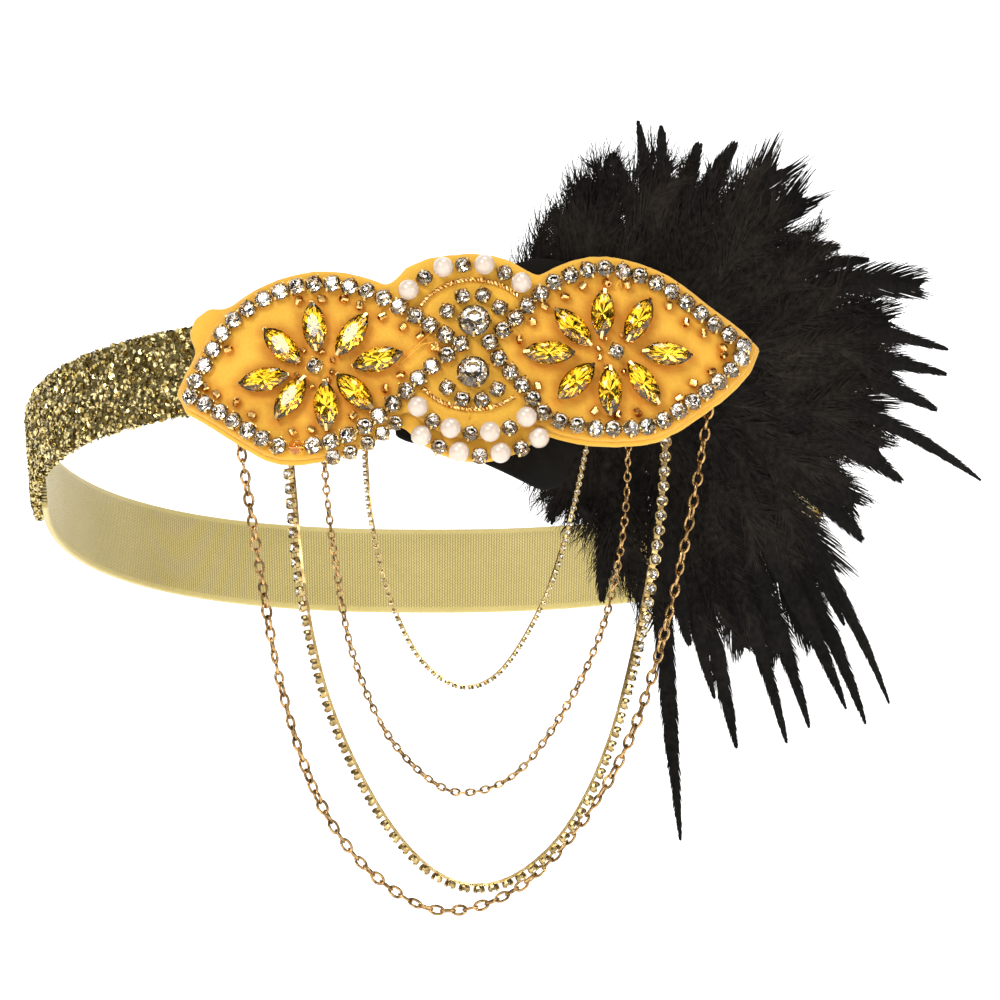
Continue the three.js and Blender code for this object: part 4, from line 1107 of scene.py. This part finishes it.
def seed_bead(size):
    """A short tube along its own X, with a rounded rim and an open hole."""
    radius, half = size["radius"], size["half"]
    section = [(radius * 0.8, -half), (radius, -half * 0.7), (radius, half * 0.7), (radius * 0.8, half),
               (radius * 0.45, half), (radius * 0.45, -half)]
    points, loops, sizes = revolved(section, 12)
    return points[:, [2, 0, 1]], loops, sizes


def bugle_bead(size):
    """A long six-sided tube along its own X, twisted like rope."""
    stations = []
    for t in np.linspace(-1, 1, 9):
        angles = np.arange(6) * math.pi / 3 + t * BUGLE_TWIST
        stations.append(np.stack([0 * angles + t * size["half"], np.cos(angles) * size["radius"],
                                  np.sin(angles) * size["radius"]], -1))
    return rings(np.array(stations))


def lying_on_felt(places, directions, lift, lean):
    """Matrices for beads whose own X lies along the felt in the given directions, rocked a little."""
    places, directions = np.asarray(places), np.asarray(directions)
    middles = badge_point(places[:, 0], places[:, 1], FELT_TOP + lift)
    outs = badge_outward(places[:, 0])
    level = unit(np.cross(outs, tilted([0.0, 0.0, 1.0])))
    upright = np.cross(level, outs)
    ways = -level * np.cos(directions)[:, None] + upright * np.sin(directions)[:, None]
    ways = unit(ways + outs * rng.normal(0, lean, len(places))[:, None])
    sides = unit(np.cross(outs, ways))
    return matrices_of(middles, ways, sides, np.cross(ways, sides))


def bow_places(row):
    """Places and directions of the beads on one bow, marked b for a bugle and o for a seed bead."""
    lengths = np.array([2 * (BUGLE if kind == "b" else SMALL_SEED)["half"] + 0.12 * MM for kind in row["beads"]])
    ends = np.cumsum(lengths)
    share = (ends - lengths / 2) / ends[-1]
    angles = np.radians(row["from"] + (row["to"] - row["from"]) * share)
    places = CROSSING + row["radius"] * MM * np.stack([np.cos(angles), np.sin(angles)], -1)
    return places, angles + math.pi / 2, np.array(list(row["beads"]))


bows = [bow_places(row) for row in BOWS]
bow_spots, bow_ways, bow_kinds = (np.concatenate([bow[i] for bow in bows]) for i in range(3))
is_bugle = bow_kinds == "b"
small_spots = np.concatenate([small_places, bow_spots[~is_bugle]])
bead_parts = [
    copies(seed_bead(SEED), lying_on_felt(seed_places, rng.uniform(0, math.pi, len(seed_places)), SEED["radius"], 0.5)),
    copies(seed_bead(SMALL_SEED), lying_on_felt(small_spots, rng.uniform(0, math.pi, len(small_spots)),
                                                SMALL_SEED["radius"], 0.5)),
    copies(bugle_bead(BUGLE), lying_on_felt(bow_spots[is_bugle], bow_ways[is_bugle], BUGLE["radius"] + 0.1 * MM, 0.03)),
]
piece("gold_beads", [(together(bead_parts), bead_gold)])

# %% [markdown]
# A few ends of yellow nylon thread arch over the felt near the crossing, as on the real hand-sewn badge.

# %% Sewing threads
THREAD_RADIUS = 0.075 * MM
THREADS = [
    {"from": (-4.2, -1.8), "to": (1.2, 3.4), "lift": 1.1},
    {"from": (-5.6, -3.4), "to": (0.2, 1.6), "lift": 0.9},
    {"from": (-3.0, 0.2), "to": (4.2, 1.2), "lift": 1.2},
    {"from": (-0.6, 2.8), "to": (1.8, -3.2), "lift": 0.8},
    {"from": (7.4, -10.2), "to": (8.0, -14.4), "lift": 1.0},
    {"from": (36.0, 12.0), "to": (38.6, 16.6), "lift": 0.9},
    {"from": (37.4, 12.2), "to": (37.0, 16.4), "lift": 0.8},
]


def thread_of(row):
    """One thin thread that arches over the felt between two stitches."""
    t = np.linspace(0, 1, 12)
    start, end = np.array(row["from"]) * MM, np.array(row["to"]) * MM
    flat = start + t[:, None] * (end - start)
    lift = FELT_TOP + row["lift"] * MM * np.sin(math.pi * t) ** 0.6
    middle = badge_point(flat[:, 0], flat[:, 1], lift)
    ways = unit(np.gradient(middle, axis=0))
    sides = unit(np.cross(ways, [0.0, -1.0, 0.0]))
    ups = np.cross(ways, sides)
    angles = np.arange(5) * 2 * math.pi / 5
    return rings(middle[:, None] + THREAD_RADIUS * (sides[:, None] * np.cos(angles)[None, :, None]
                                                   + ups[:, None] * np.sin(angles)[None, :, None]))


nylon, tree, shader = finish_of("yellow_nylon", roughness=0.3)
twist = placed_group(tree, STONE_TINT, Tint=(0.90, 0.50, 0.05, 1), Smoke=(0.70, 0.28, 0.01, 1), Patch_scale=900.0)
tree.links.new(twist["Color"], shader.inputs["Base Color"])
piece("sewing_threads", [(together([thread_of(row) for row in THREADS]), nylon)], True)

# %% [markdown]
# The four chains hang from stitches under the felt. Each route was drawn as points across and
# up, and its depth is read back from the frame, where every chain hangs in one slanted plane.

# %% Chain routes
OUTER_ROUTE = [(-36.9, 9.0), (-36.0, 3.5), (-32.5, -18.7), (-28.7, -40.0), (-22.8, -59.4), (-15.1, -72.9),
               (-5.4, -81.6), (3.5, -84.7), (14.6, -81.9), (25.6, -72.9), (37.2, -55.5), (44.9, -34.2),
               (50.7, -9.0), (53.8, 9.0), (54.8, 15.2)]
CUP_ROUTE = [(-27.4, 7.0), (-26.6, -3.0), (-24.7, -22.5), (-19.9, -43.8), (-11.2, -63.1), (-1.5, -75.7),
             (8.1, -80.3), (17.8, -78.0), (27.4, -68.9), (35.2, -53.4), (41.0, -32.2), (44.8, -9.0), (46.2, 10.4)]
SMALL_ROUTE = [(-20.1, 6.2), (-19.6, -3.0), (-17.9, -16.7), (-14.7, -34.1), (-8.3, -49.5), (0.4, -59.1),
               (8.1, -61.5), (17.7, -57.2), (27.4, -43.7), (34.1, -28.3), (37.7, -10.9), (38.8, 7.4)]
FINE_ROUTE = [(-12.3, 7.2), (-11.8, -3.0), (-10.6, -11.5), (-7.3, -24.4), (-1.5, -35.9), (6.2, -41.2),
              (13.9, -38.4), (21.6, -26.3), (26.6, -12.4), (30.9, 6.6)]


def smooth_route(route, node_name, pitch):
    """Evenly spaced points along a curve through the route, in the chain's own slanted plane."""
    given = np.array(route) * MM
    given = np.vstack([2 * given[0] - given[1], given, 2 * given[-1] - given[-2]])
    curve = []
    for i in range(1, len(given) - 2):
        a, b, c, d = given[i - 1:i + 3]
        t = np.linspace(0, 1, 24, endpoint=False)[:, None]
        curve.append(0.5 * (2 * b + (c - a) * t + (2 * a - 5 * b + 4 * c - d) * t ** 2
                            + (3 * b - a - 3 * c + d) * t ** 3))
    curve = np.vstack([*curve, given[-2:-1]])
    own = node_points(node_name)
    slope, start = np.polyfit(own[:, 0], own[:, 1], 1)
    curve = np.stack([curve[:, 0], start + slope * curve[:, 0], curve[:, 1]], -1)
    return resampled(curve, pitch)


def along_frames(points):
    """Middles and directions of the steps between route points."""
    return (points[1:] + points[:-1]) / 2, unit(points[1:] - points[:-1])


# %% Link chains
def oval_link(long, wide, wire, bends=14, sides=6):
    """A closed wire oval along its own X."""
    angles = np.arange(bends) * 2 * math.pi / bends
    centre = np.stack([np.cos(angles) * (long - wire) / 2, np.sin(angles) * (wide - wire) / 2, 0 * angles], -1)
    outward = unit(np.stack([np.cos(angles) * wide, np.sin(angles) * long, 0 * angles], -1))
    around = np.arange(sides) * 2 * math.pi / sides
    stations = centre[:, None] + wire / 2 * (outward[:, None] * np.cos(around)[None, :, None]
                                             + np.array([0, 0, 1]) * np.sin(around)[None, :, None])
    return rings(stations, closed=True)


def link_chain(name, route, node_name, pitch, wide, wire, material):
    middles, ways = along_frames(smooth_route(route, node_name, pitch))
    step = np.linalg.norm(middles[1] - middles[0])
    across = unit(np.cross(ways, [0.0, 1.0, 0.0]))
    deep = np.cross(across, ways)
    roll = np.where(np.arange(len(middles)) % 2 == 0, 0.35, math.pi / 2 + 0.25) + rng.normal(0, 0.22, len(middles))
    sides = across * np.cos(roll)[:, None] + deep * np.sin(roll)[:, None]
    link = oval_link(step + 2 * wire, wide, wire)
    links = copies(link, matrices_of(middles, ways, sides, np.cross(ways, sides)))
    piece(name, [(links, material)], True, [node_name])
    print(name, "links:", len(middles), "length in mm:", round(step * len(middles) / MM))


link_chain("outer_links", OUTER_ROUTE, "outer_link_chain", 2.2 * MM, 2.3 * MM, 0.58 * MM, antique_gold)
link_chain("small_links", SMALL_ROUTE, "small_link_chain", 1.45 * MM, 1.65 * MM, 0.42 * MM, antique_gold)

# %% [markdown]
# A cup chain's stones face the viewer where the chain is sewn on, and it rolls a quarter turn on its
# way down, so that along the bottom the stones face out of the swag and the strip shows inside.

# %% Cup chains
CUP_ROLL = [(0.0, 0.45), (0.08, 0.70), (0.17, 1.0), (0.72, 1.0), (0.80, 0.62), (0.88, 0.15), (1.0, 0.05)]


def cup_roll(share):
    """0 where the stones face the viewer, 1 where they face out of the swag."""
    return np.interp(share, [row[0] for row in CUP_ROLL], [row[1] for row in CUP_ROLL])


def box_part(low, high):
    x0, y0, z0 = low
    x1, y1, z1 = high
    points = [(x, y, z) for z in (z0, z1) for x, y in ((x0, y0), (x1, y0), (x1, y1), (x0, y1))]
    faces = [(3, 2, 1, 0), (4, 5, 6, 7), (0, 1, 5, 4), (1, 2, 6, 5), (2, 3, 7, 6), (3, 0, 4, 7)]
    return shape(points, faces)


def chain_cup(radius):
    """A round-bottomed cup with four short claws."""
    wall = revolved([(radius * 0.55, -radius * 0.05), (radius * 0.88, radius * 0.10), (radius, radius * 0.45),
                     (radius, radius * 0.98), (radius * 0.85, radius * 0.98), (radius * 0.62, radius * 0.2)], 14)
    parts = [wall]
    for i in range(4):
        angle = (i + 0.5) * math.pi / 2
        way = np.array([math.cos(angle), math.sin(angle), 0])
        rim = way * radius * 0.93 + [0, 0, radius * 0.85]
        parts.append(bar(rim, way * radius * 0.74 + [0, 0, radius * 1.16], radius * 0.24, radius * 0.14))
    return together(parts)


def stone_chain(name, route, node_name, pitch, radius):
    middles, ways = along_frames(smooth_route(route, node_name, pitch))
    share = np.linspace(0, 1, len(middles))
    turn = cup_roll(share) * math.radians(85)
    outward = np.stack([ways[:, 2], 0 * ways[:, 0], -ways[:, 0]], -1)
    facing = unit(np.array([0, -1.0, 0]) * np.cos(turn)[:, None] + outward * np.sin(turn)[:, None])
    facing = unit(facing - (facing * ways).sum(1, keepdims=True) * ways)
    places = matrices_of(middles - facing * radius * 0.55, np.cross(ways, facing), ways, facing)
    cup = chain_cup(radius)
    step = np.linalg.norm(middles[1] - middles[0])
    strip = box_part((-radius * 0.48, -step * 0.56, -radius * 0.46), (radius * 0.48, step * 0.56, radius * 0.04))
    group = stone_parts(brilliant(0.40, 0.5), radius * 0.80, radius * 0.88, tilted_stones(places, 0.05), clear_glass,
                        silver_foil)
    stones_piece(name, [group], [(copies(cup, places), cup_gold), (copies(strip, places), bright_gold)],
                 [node_name])
    print(name, "cups:", len(middles), "length in mm:", round(step * len(middles) / MM))


stone_chain("cup_chain_stones", CUP_ROUTE, "cup_chain", 2.85 * MM, 1.15 * MM)
stone_chain("fine_chain_stones", FINE_ROUTE, "fine_cup_chain", 1.6 * MM, 0.58 * MM)

# %% [markdown]
# A feather is a thin quill with hundreds of barbs. Each barb is one curved strip. Hackles have close
# barbs that lie flat and join into a blade, and fluff has long loose barbs that wave apart.

# %% Feather maker
ROOT = np.array([44.0, 22.0]) * MM
BACK_STANDS_OFF = 0.6 * MM


def strap_front(x):
    """How far back the strap's outer face lies at a distance across, in the loop's own level."""
    share = np.clip(np.abs(x) / LOOP_HALF_WIDTH, 0, 0.995)
    return -LOOP_HALF_DEPTH * (1 - share ** LOOP_SQUARENESS) ** (1 / LOOP_SQUARENESS)


def plume_depth(x):
    return -76 * MM + np.maximum(0, x - 30 * MM) ** 2 / (180 * MM)


def held_off(points):
    """Feather points pushed in front of the strap and behind the felt, wherever they cross them."""
    level = levelled(points)
    strap_high = np.abs(level[..., 2]) < 12 * MM
    ahead_of = strap_front(level[..., 0]) - BACK_STANDS_OFF
    level[..., 1] = np.where(strap_high, np.minimum(level[..., 1], ahead_of), level[..., 1])
    rear = AXIS_Y - np.sqrt((APPLIQUE_RADIUS + PAD_REAR) ** 2 - (level[..., 0] - APPLIQUE_X) ** 2)
    near_badge = (level[..., 0] < 66 * MM) & (np.abs(level[..., 2]) < 26 * MM)
    level[..., 1] = np.where(near_badge, np.maximum(level[..., 1], rear + 0.3 * MM), level[..., 1])
    return tilted(level)


def strips(rooted, half_width, across):
    """Flat strips as quads: (strips, stations, 3) middles with a half-width at each station."""
    left = rooted + across * half_width
    right = rooted - across * half_width
    count, stations, _ = rooted.shape
    points = np.stack([left, right], 2).reshape(-1, 3)
    i, k = np.meshgrid(np.arange(count), np.arange(stations - 1), indexing="ij")
    base = (i * stations + k) * 2
    faces = np.stack([base, base + 1, base + 3, base + 2], -1).reshape(-1, 4)
    return points, faces.ravel(), np.full(len(faces), 4)


def feather(root, tip, half_width, bend, layer, spacing, barb_width, angle, wave, profile, rough, stations=6):
    """One feather's strips: its barbs on both sides and its quill."""
    root, tip = np.array(root, float), np.array(tip, float)
    length = np.linalg.norm(tip - root)
    way = (tip - root) / length
    side = np.array([way[1], -way[0]])
    t = np.linspace(0, 1, max(8, int(length / spacing)))
    bulge = 4 * t * (1 - t) * bend
    quill = root + t[:, None] * (tip - root) + bulge[:, None] * side * length
    tangent = unit(np.gradient(quill, axis=0))
    normal = np.stack([tangent[:, 1], -tangent[:, 0]], -1)
    parts = []
    for hand in (-1, 1):
        reach = half_width * profile(t) * rng.uniform(1 - 1.4 * rough, 1 + 0.6 * rough, len(t))
        lean = np.radians(angle) * (1 - 0.55 * t) * rng.normal(1, 0.06, len(t))
        reach = reach / np.maximum(np.sin(lean), 0.3)
        s = np.linspace(0, 1, stations)
        bent = lean[:, None] * (1 - 0.35 * s[None, :])
        flat = (np.cos(bent)[..., None] * tangent[:, None] + hand * np.sin(bent)[..., None] * normal[:, None])
        steps = flat * (reach / (stations - 1))[:, None, None]
        places = quill[:, None] + np.cumsum(steps, axis=1) - steps[:, :1]
        if wave > 0:
            phase = rng.uniform(0, 6.3, (len(t), 1))
            swing = wave * s[None, :] ** 1.3 * np.sin(phase + s[None, :] * rng.uniform(3, 8, (len(t), 1)))
            places = places + swing[..., None] * np.stack([-flat[..., 1], flat[..., 0]], -1)
        depth = layer * (1 - np.exp(-np.linalg.norm(places - ROOT, axis=-1) / (14 * MM)))
        loft = rng.normal(0, 1, (len(t), 1)) * wave * s[None, :]
        spread = np.stack([places[..., 0], plume_depth(places[..., 0]) + depth + loft, places[..., 1]], -1)
        spread = held_off(spread)
        width = barb_width * (1 - 0.85 * s) * rng.uniform(0.7, 1.2, (len(t), 1))
        ways = np.gradient(spread, axis=1)
        across = unit(np.cross(ways, [0.0, -1.0, 0.0]) + 1e-9)
        parts.append(strips(spread, width[..., None] / 2, across))
    shaft = np.stack([quill[:, 0], plume_depth(quill[:, 0]) - 0.1 * MM
                      + layer * (1 - np.exp(-np.linalg.norm(quill - ROOT, axis=-1) / (14 * MM))), quill[:, 1]], -1)
    shaft = held_off(shaft)
    thin = (0.22 * MM * (1 - 0.8 * t))[None, :, None]
    ways = np.gradient(shaft, axis=0)
    across = unit(np.cross(ways, [0.0, -1.0, 0.0]))
    parts.append(strips(shaft[None], thin, across[None]))
    return together(parts)


def blade_shape(t):
    return np.clip(np.sin(math.pi * np.clip(t, 0, 1) ** 0.75), 0, 1) ** 0.6


def broad_shape(t):
    return np.clip(np.minimum(1, t * 5) * (1 - np.clip((t - 0.72) / 0.28, 0, 1) ** 2.2), 0, 1)


def fluff_shape(t):
    return 0.2 + 0.8 * np.minimum(1, t * 4) * (1 - t) ** 0.55


# %% Feather finishes
def plumage(name, dark, light):
    material, tree, shader = finish_of(name, roughness=0.5, sheen_weight=0.02, sheen_roughness=0.4,
                                       specular_ior_level=0.06)
    grain = placed_group(tree, SOFT_GRAIN, Fibre_scale=900.0, Cloud_scale=70.0)
    ramp = node(tree, "ShaderNodeMapRange", {"Value": grain["Shade"], 1: 0.38, 2: 0.68}).outputs[0]
    tree.links.new(blended(tree, ramp, dark, light), shader.inputs["Base Color"])
    return material


hackle_black = plumage("hackle_black", (0.0020, 0.0017, 0.0012), (0.012, 0.010, 0.008))
fluff_black = plumage("fluff_black", (0.0025, 0.0020, 0.0014), (0.026, 0.020, 0.015))

# %% [markdown]
# The long feathers follow the ones seen in the photograph. Each row gives a tip in millimetres across
# and up, the half-width of the vane, how far it bows, and how far it stands behind or before the rest.

# %% Long feathers
BLADES = [
    {"tip": (41.0, 68.6), "half": 2.2, "bend": 0.03, "layer": 2.0},
    {"tip": (45.5, 67.5), "half": 2.5, "bend": 0.02, "layer": 1.0},
    {"tip": (53.0, 64.0), "half": 3.0, "bend": -0.03, "layer": 3.0},
    {"tip": (60.0, 64.3), "half": 3.0, "bend": -0.05, "layer": 0.0},
    {"tip": (36.0, 62.0), "half": 2.6, "bend": 0.05, "layer": 1.0},
    {"tip": (30.0, 56.5), "half": 3.2, "bend": 0.06, "layer": 2.0},
    {"tip": (24.5, 50.5), "half": 3.0, "bend": 0.04, "layer": 0.5},
    {"tip": (80.5, 44.5), "half": 3.2, "bend": -0.10, "layer": 1.0},
    {"tip": (87.0, 42.0), "half": 2.6, "bend": -0.10, "layer": 3.0},
    {"tip": (103.5, 24.5), "half": 2.6, "bend": -0.08, "layer": 2.0},
    {"tip": (103.0, 19.5), "half": 2.8, "bend": -0.05, "layer": 0.0},
    {"tip": (101.0, 12.5), "half": 3.2, "bend": -0.08, "layer": 2.0},
    {"tip": (110.5, -1.6), "half": 2.3, "bend": -0.07, "layer": 1.0},
    {"tip": (93.5, -1.5), "half": 3.4, "bend": -0.04, "layer": 0.0},
    {"tip": (85.5, -13.0), "half": 3.6, "bend": -0.03, "layer": 2.0},
    {"tip": (82.0, -30.0), "half": 2.6, "bend": -0.05, "layer": 1.0},
    {"tip": (91.4, -45.8), "half": 2.2, "bend": -0.06, "layer": 3.0},
    {"tip": (86.4, -49.6), "half": 2.8, "bend": -0.05, "layer": 1.5},
    {"tip": (82.3, -46.4), "half": 2.8, "bend": -0.03, "layer": 0.0},
    {"tip": (75.0, -50.0), "half": 2.8, "bend": -0.03, "layer": 2.0},
    {"tip": (70.4, -53.0), "half": 2.6, "bend": -0.02, "layer": 1.0},
    {"tip": (66.6, -39.0), "half": 3.2, "bend": 0.00, "layer": 0.0},
    {"tip": (60.4, -53.8), "half": 3.0, "bend": 0.00, "layer": 2.0},
    {"tip": (56.0, -44.0), "half": 2.6, "bend": 0.02, "layer": 1.0},
    {"tip": (51.0, -33.4), "half": 3.0, "bend": 0.03, "layer": 0.0},
    {"tip": (49.4, -71.8), "half": 2.6, "bend": 0.01, "layer": 3.0},
    {"tip": (34.0, -24.7), "half": 3.0, "bend": 0.04, "layer": 1.0},
    {"tip": (24.0, -9.0), "half": 3.0, "bend": 0.04, "layer": 1.0},
]
BROADS = [
    {"tip": (68.0, 59.0), "half": 6.0, "bend": -0.04, "layer": 1.0},
    {"tip": (73.5, 54.0), "half": 5.0, "bend": -0.06, "layer": 3.0},
    {"tip": (97.5, 37.0), "half": 4.6, "bend": -0.10, "layer": 1.0},
    {"tip": (91.0, 30.0), "half": 5.0, "bend": -0.06, "layer": 3.0},
    {"tip": (88.0, 12.0), "half": 6.0, "bend": -0.03, "layer": 3.0},
    {"tip": (78.0, -18.0), "half": 6.0, "bend": -0.02, "layer": 3.0},
    {"tip": (60.0, -22.0), "half": 6.0, "bend": 0.00, "layer": 3.0},
    {"tip": (46.0, 50.0), "half": 6.0, "bend": 0.02, "layer": 3.0},
    {"tip": (30.0, 45.0), "half": 5.0, "bend": 0.02, "layer": 3.0},
    {"tip": (91.0, 21.0), "half": 5.0, "bend": -0.05, "layer": 2.0},
    {"tip": (89.0, 5.0), "half": 4.6, "bend": -0.05, "layer": 2.0},
    {"tip": (84.0, -6.0), "half": 4.6, "bend": -0.03, "layer": 1.0},
    {"tip": (76.0, -33.0), "half": 4.6, "bend": -0.03, "layer": 2.5},
    {"tip": (69.0, -35.0), "half": 5.0, "bend": -0.02, "layer": 1.5},
    {"tip": (62.0, -34.0), "half": 4.6, "bend": 0.00, "layer": 1.0},
]


def long_feathers(rows, profile, spacing, barb_width, angle, wave):
    made = []
    for row in rows:
        tip = np.array(row["tip"]) * MM
        start = ROOT + unit(tip - ROOT) * 5 * MM
        made.append(feather(start, tip, row["half"] * MM, row["bend"], row["layer"] * MM, spacing, barb_width,
                            angle, wave, profile, 0.07))
    return together(made)


blades = long_feathers(BLADES, blade_shape, 0.40 * MM, 0.64 * MM, 26, 0.10 * MM)
broads = long_feathers(BROADS, broad_shape, 0.40 * MM, 0.62 * MM, 40, 0.22 * MM)
piece("long_feathers", [(blades, hackle_black), (broads, hackle_black)], stands_for=["plume"])

# %% [markdown]
# The fluff is many small downy feathers. Their tips fill the mass out to an edge that was measured
# by direction from the quills, from straight up round by the right to the left.

# %% Fluff
EDGE_DIRECTIONS = [(219, 30), (235, 34), (245, 35), (255, 38), (264, 45), (275, 51), (285, 54), (300, 50), (315, 43),
                   (325, 45), (335, 44), (345, 45), (375, 44), (390, 41), (405, 40), (425, 42), (435, 39), (445, 38),
                   (450, 40), (460, 41), (470, 39), (480, 35), (490, 32), (500, 30), (510, 28), (545, 21), (579, 30)]
STRAND_TURN = [(219, 30), (255, 14), (300, 0), (435, 0), (470, -26), (500, -48), (579, -60)]
TUFTS = 330
TUFT_BARBS = 40


def edge_reach(direction):
    """How far the mass reaches in a direction given in degrees, in metres."""
    directions = np.array([row[0] for row in EDGE_DIRECTIONS], float)
    reaches = np.array([row[1] for row in EDGE_DIRECTIONS], float)
    turned = (np.asarray(direction) - 219) % 360 + 219
    return np.interp(turned, directions, reaches) * MM


def strand_turn(direction):
    """How far the strands turn from straight out, in degrees, so that they sweep round at the left."""
    return np.interp(direction, [row[0] for row in STRAND_TURN], [row[1] for row in STRAND_TURN])


def fluff(name, count, nearest, furthest, lengths, halves, layers):
    made = []
    for _ in range(count):
        direction = rng.uniform(222, 566)
        tip = ROOT + np.array([math.cos(math.radians(direction)), math.sin(math.radians(direction))]) \
            * edge_reach(direction) * rng.uniform(nearest, furthest)
        lying = math.radians(direction + strand_turn(direction) + rng.normal(0, 13))
        length = rng.uniform(*lengths) * MM
        start = tip - np.array([math.cos(lying), math.sin(lying)]) * length
        made.append(feather(start, tip, rng.uniform(*halves) * MM, rng.normal(0, 0.07), rng.uniform(*layers) * MM,
                            length / (TUFT_BARBS / 2), 0.30 * MM, 36, 0.6 * MM, fluff_shape, 0.16))
    piece(name, [(together(made), fluff_black)])


fluff("fluff_inner", TUFTS, 0.35, 0.95, (12, 19), (4.5, 7.0), (-2.0, 4.0))
fluff("fluff_outer", TUFTS, 0.70, 1.05, (12, 19), (3.4, 6.4), (-1.0, 5.0))

# %% [markdown]
# A short second row of stones stands under the left medallion, beyond the front felt's edge. Their
# cups reach down to the back felt. Places are across and up on the loop's own level, in millimetres.

# %% Second row of stones
SECOND_ROW = np.array([(-18.2, -21.3), (-14.9, -20.5), (-11.6, -18.8), (-8.6, -16.9), (-6.3, -14.9)]) * MM
SECOND_STONE = {"radius": 1.5 * MM, "setting": 0.9 * MM, "crown": 0.7 * MM}


def upright_on_badge(spots, height):
    """Matrices at places on the badge, whose own Z stands straight out of it."""
    outs = badge_outward(spots[:, 0])
    level = unit(np.cross(outs, tilted([0.0, 0.0, 1.0])))
    return matrices_of(badge_point(spots[:, 0], spots[:, 1], height), level, np.cross(outs, level), outs)


stones_at("second_row_stones", upright_on_badge(SECOND_ROW, FELT_TOP - 0.5 * MM), SECOND_STONE, 0.12,
          foot=FELT_TOP - 0.5 * MM - back_front)
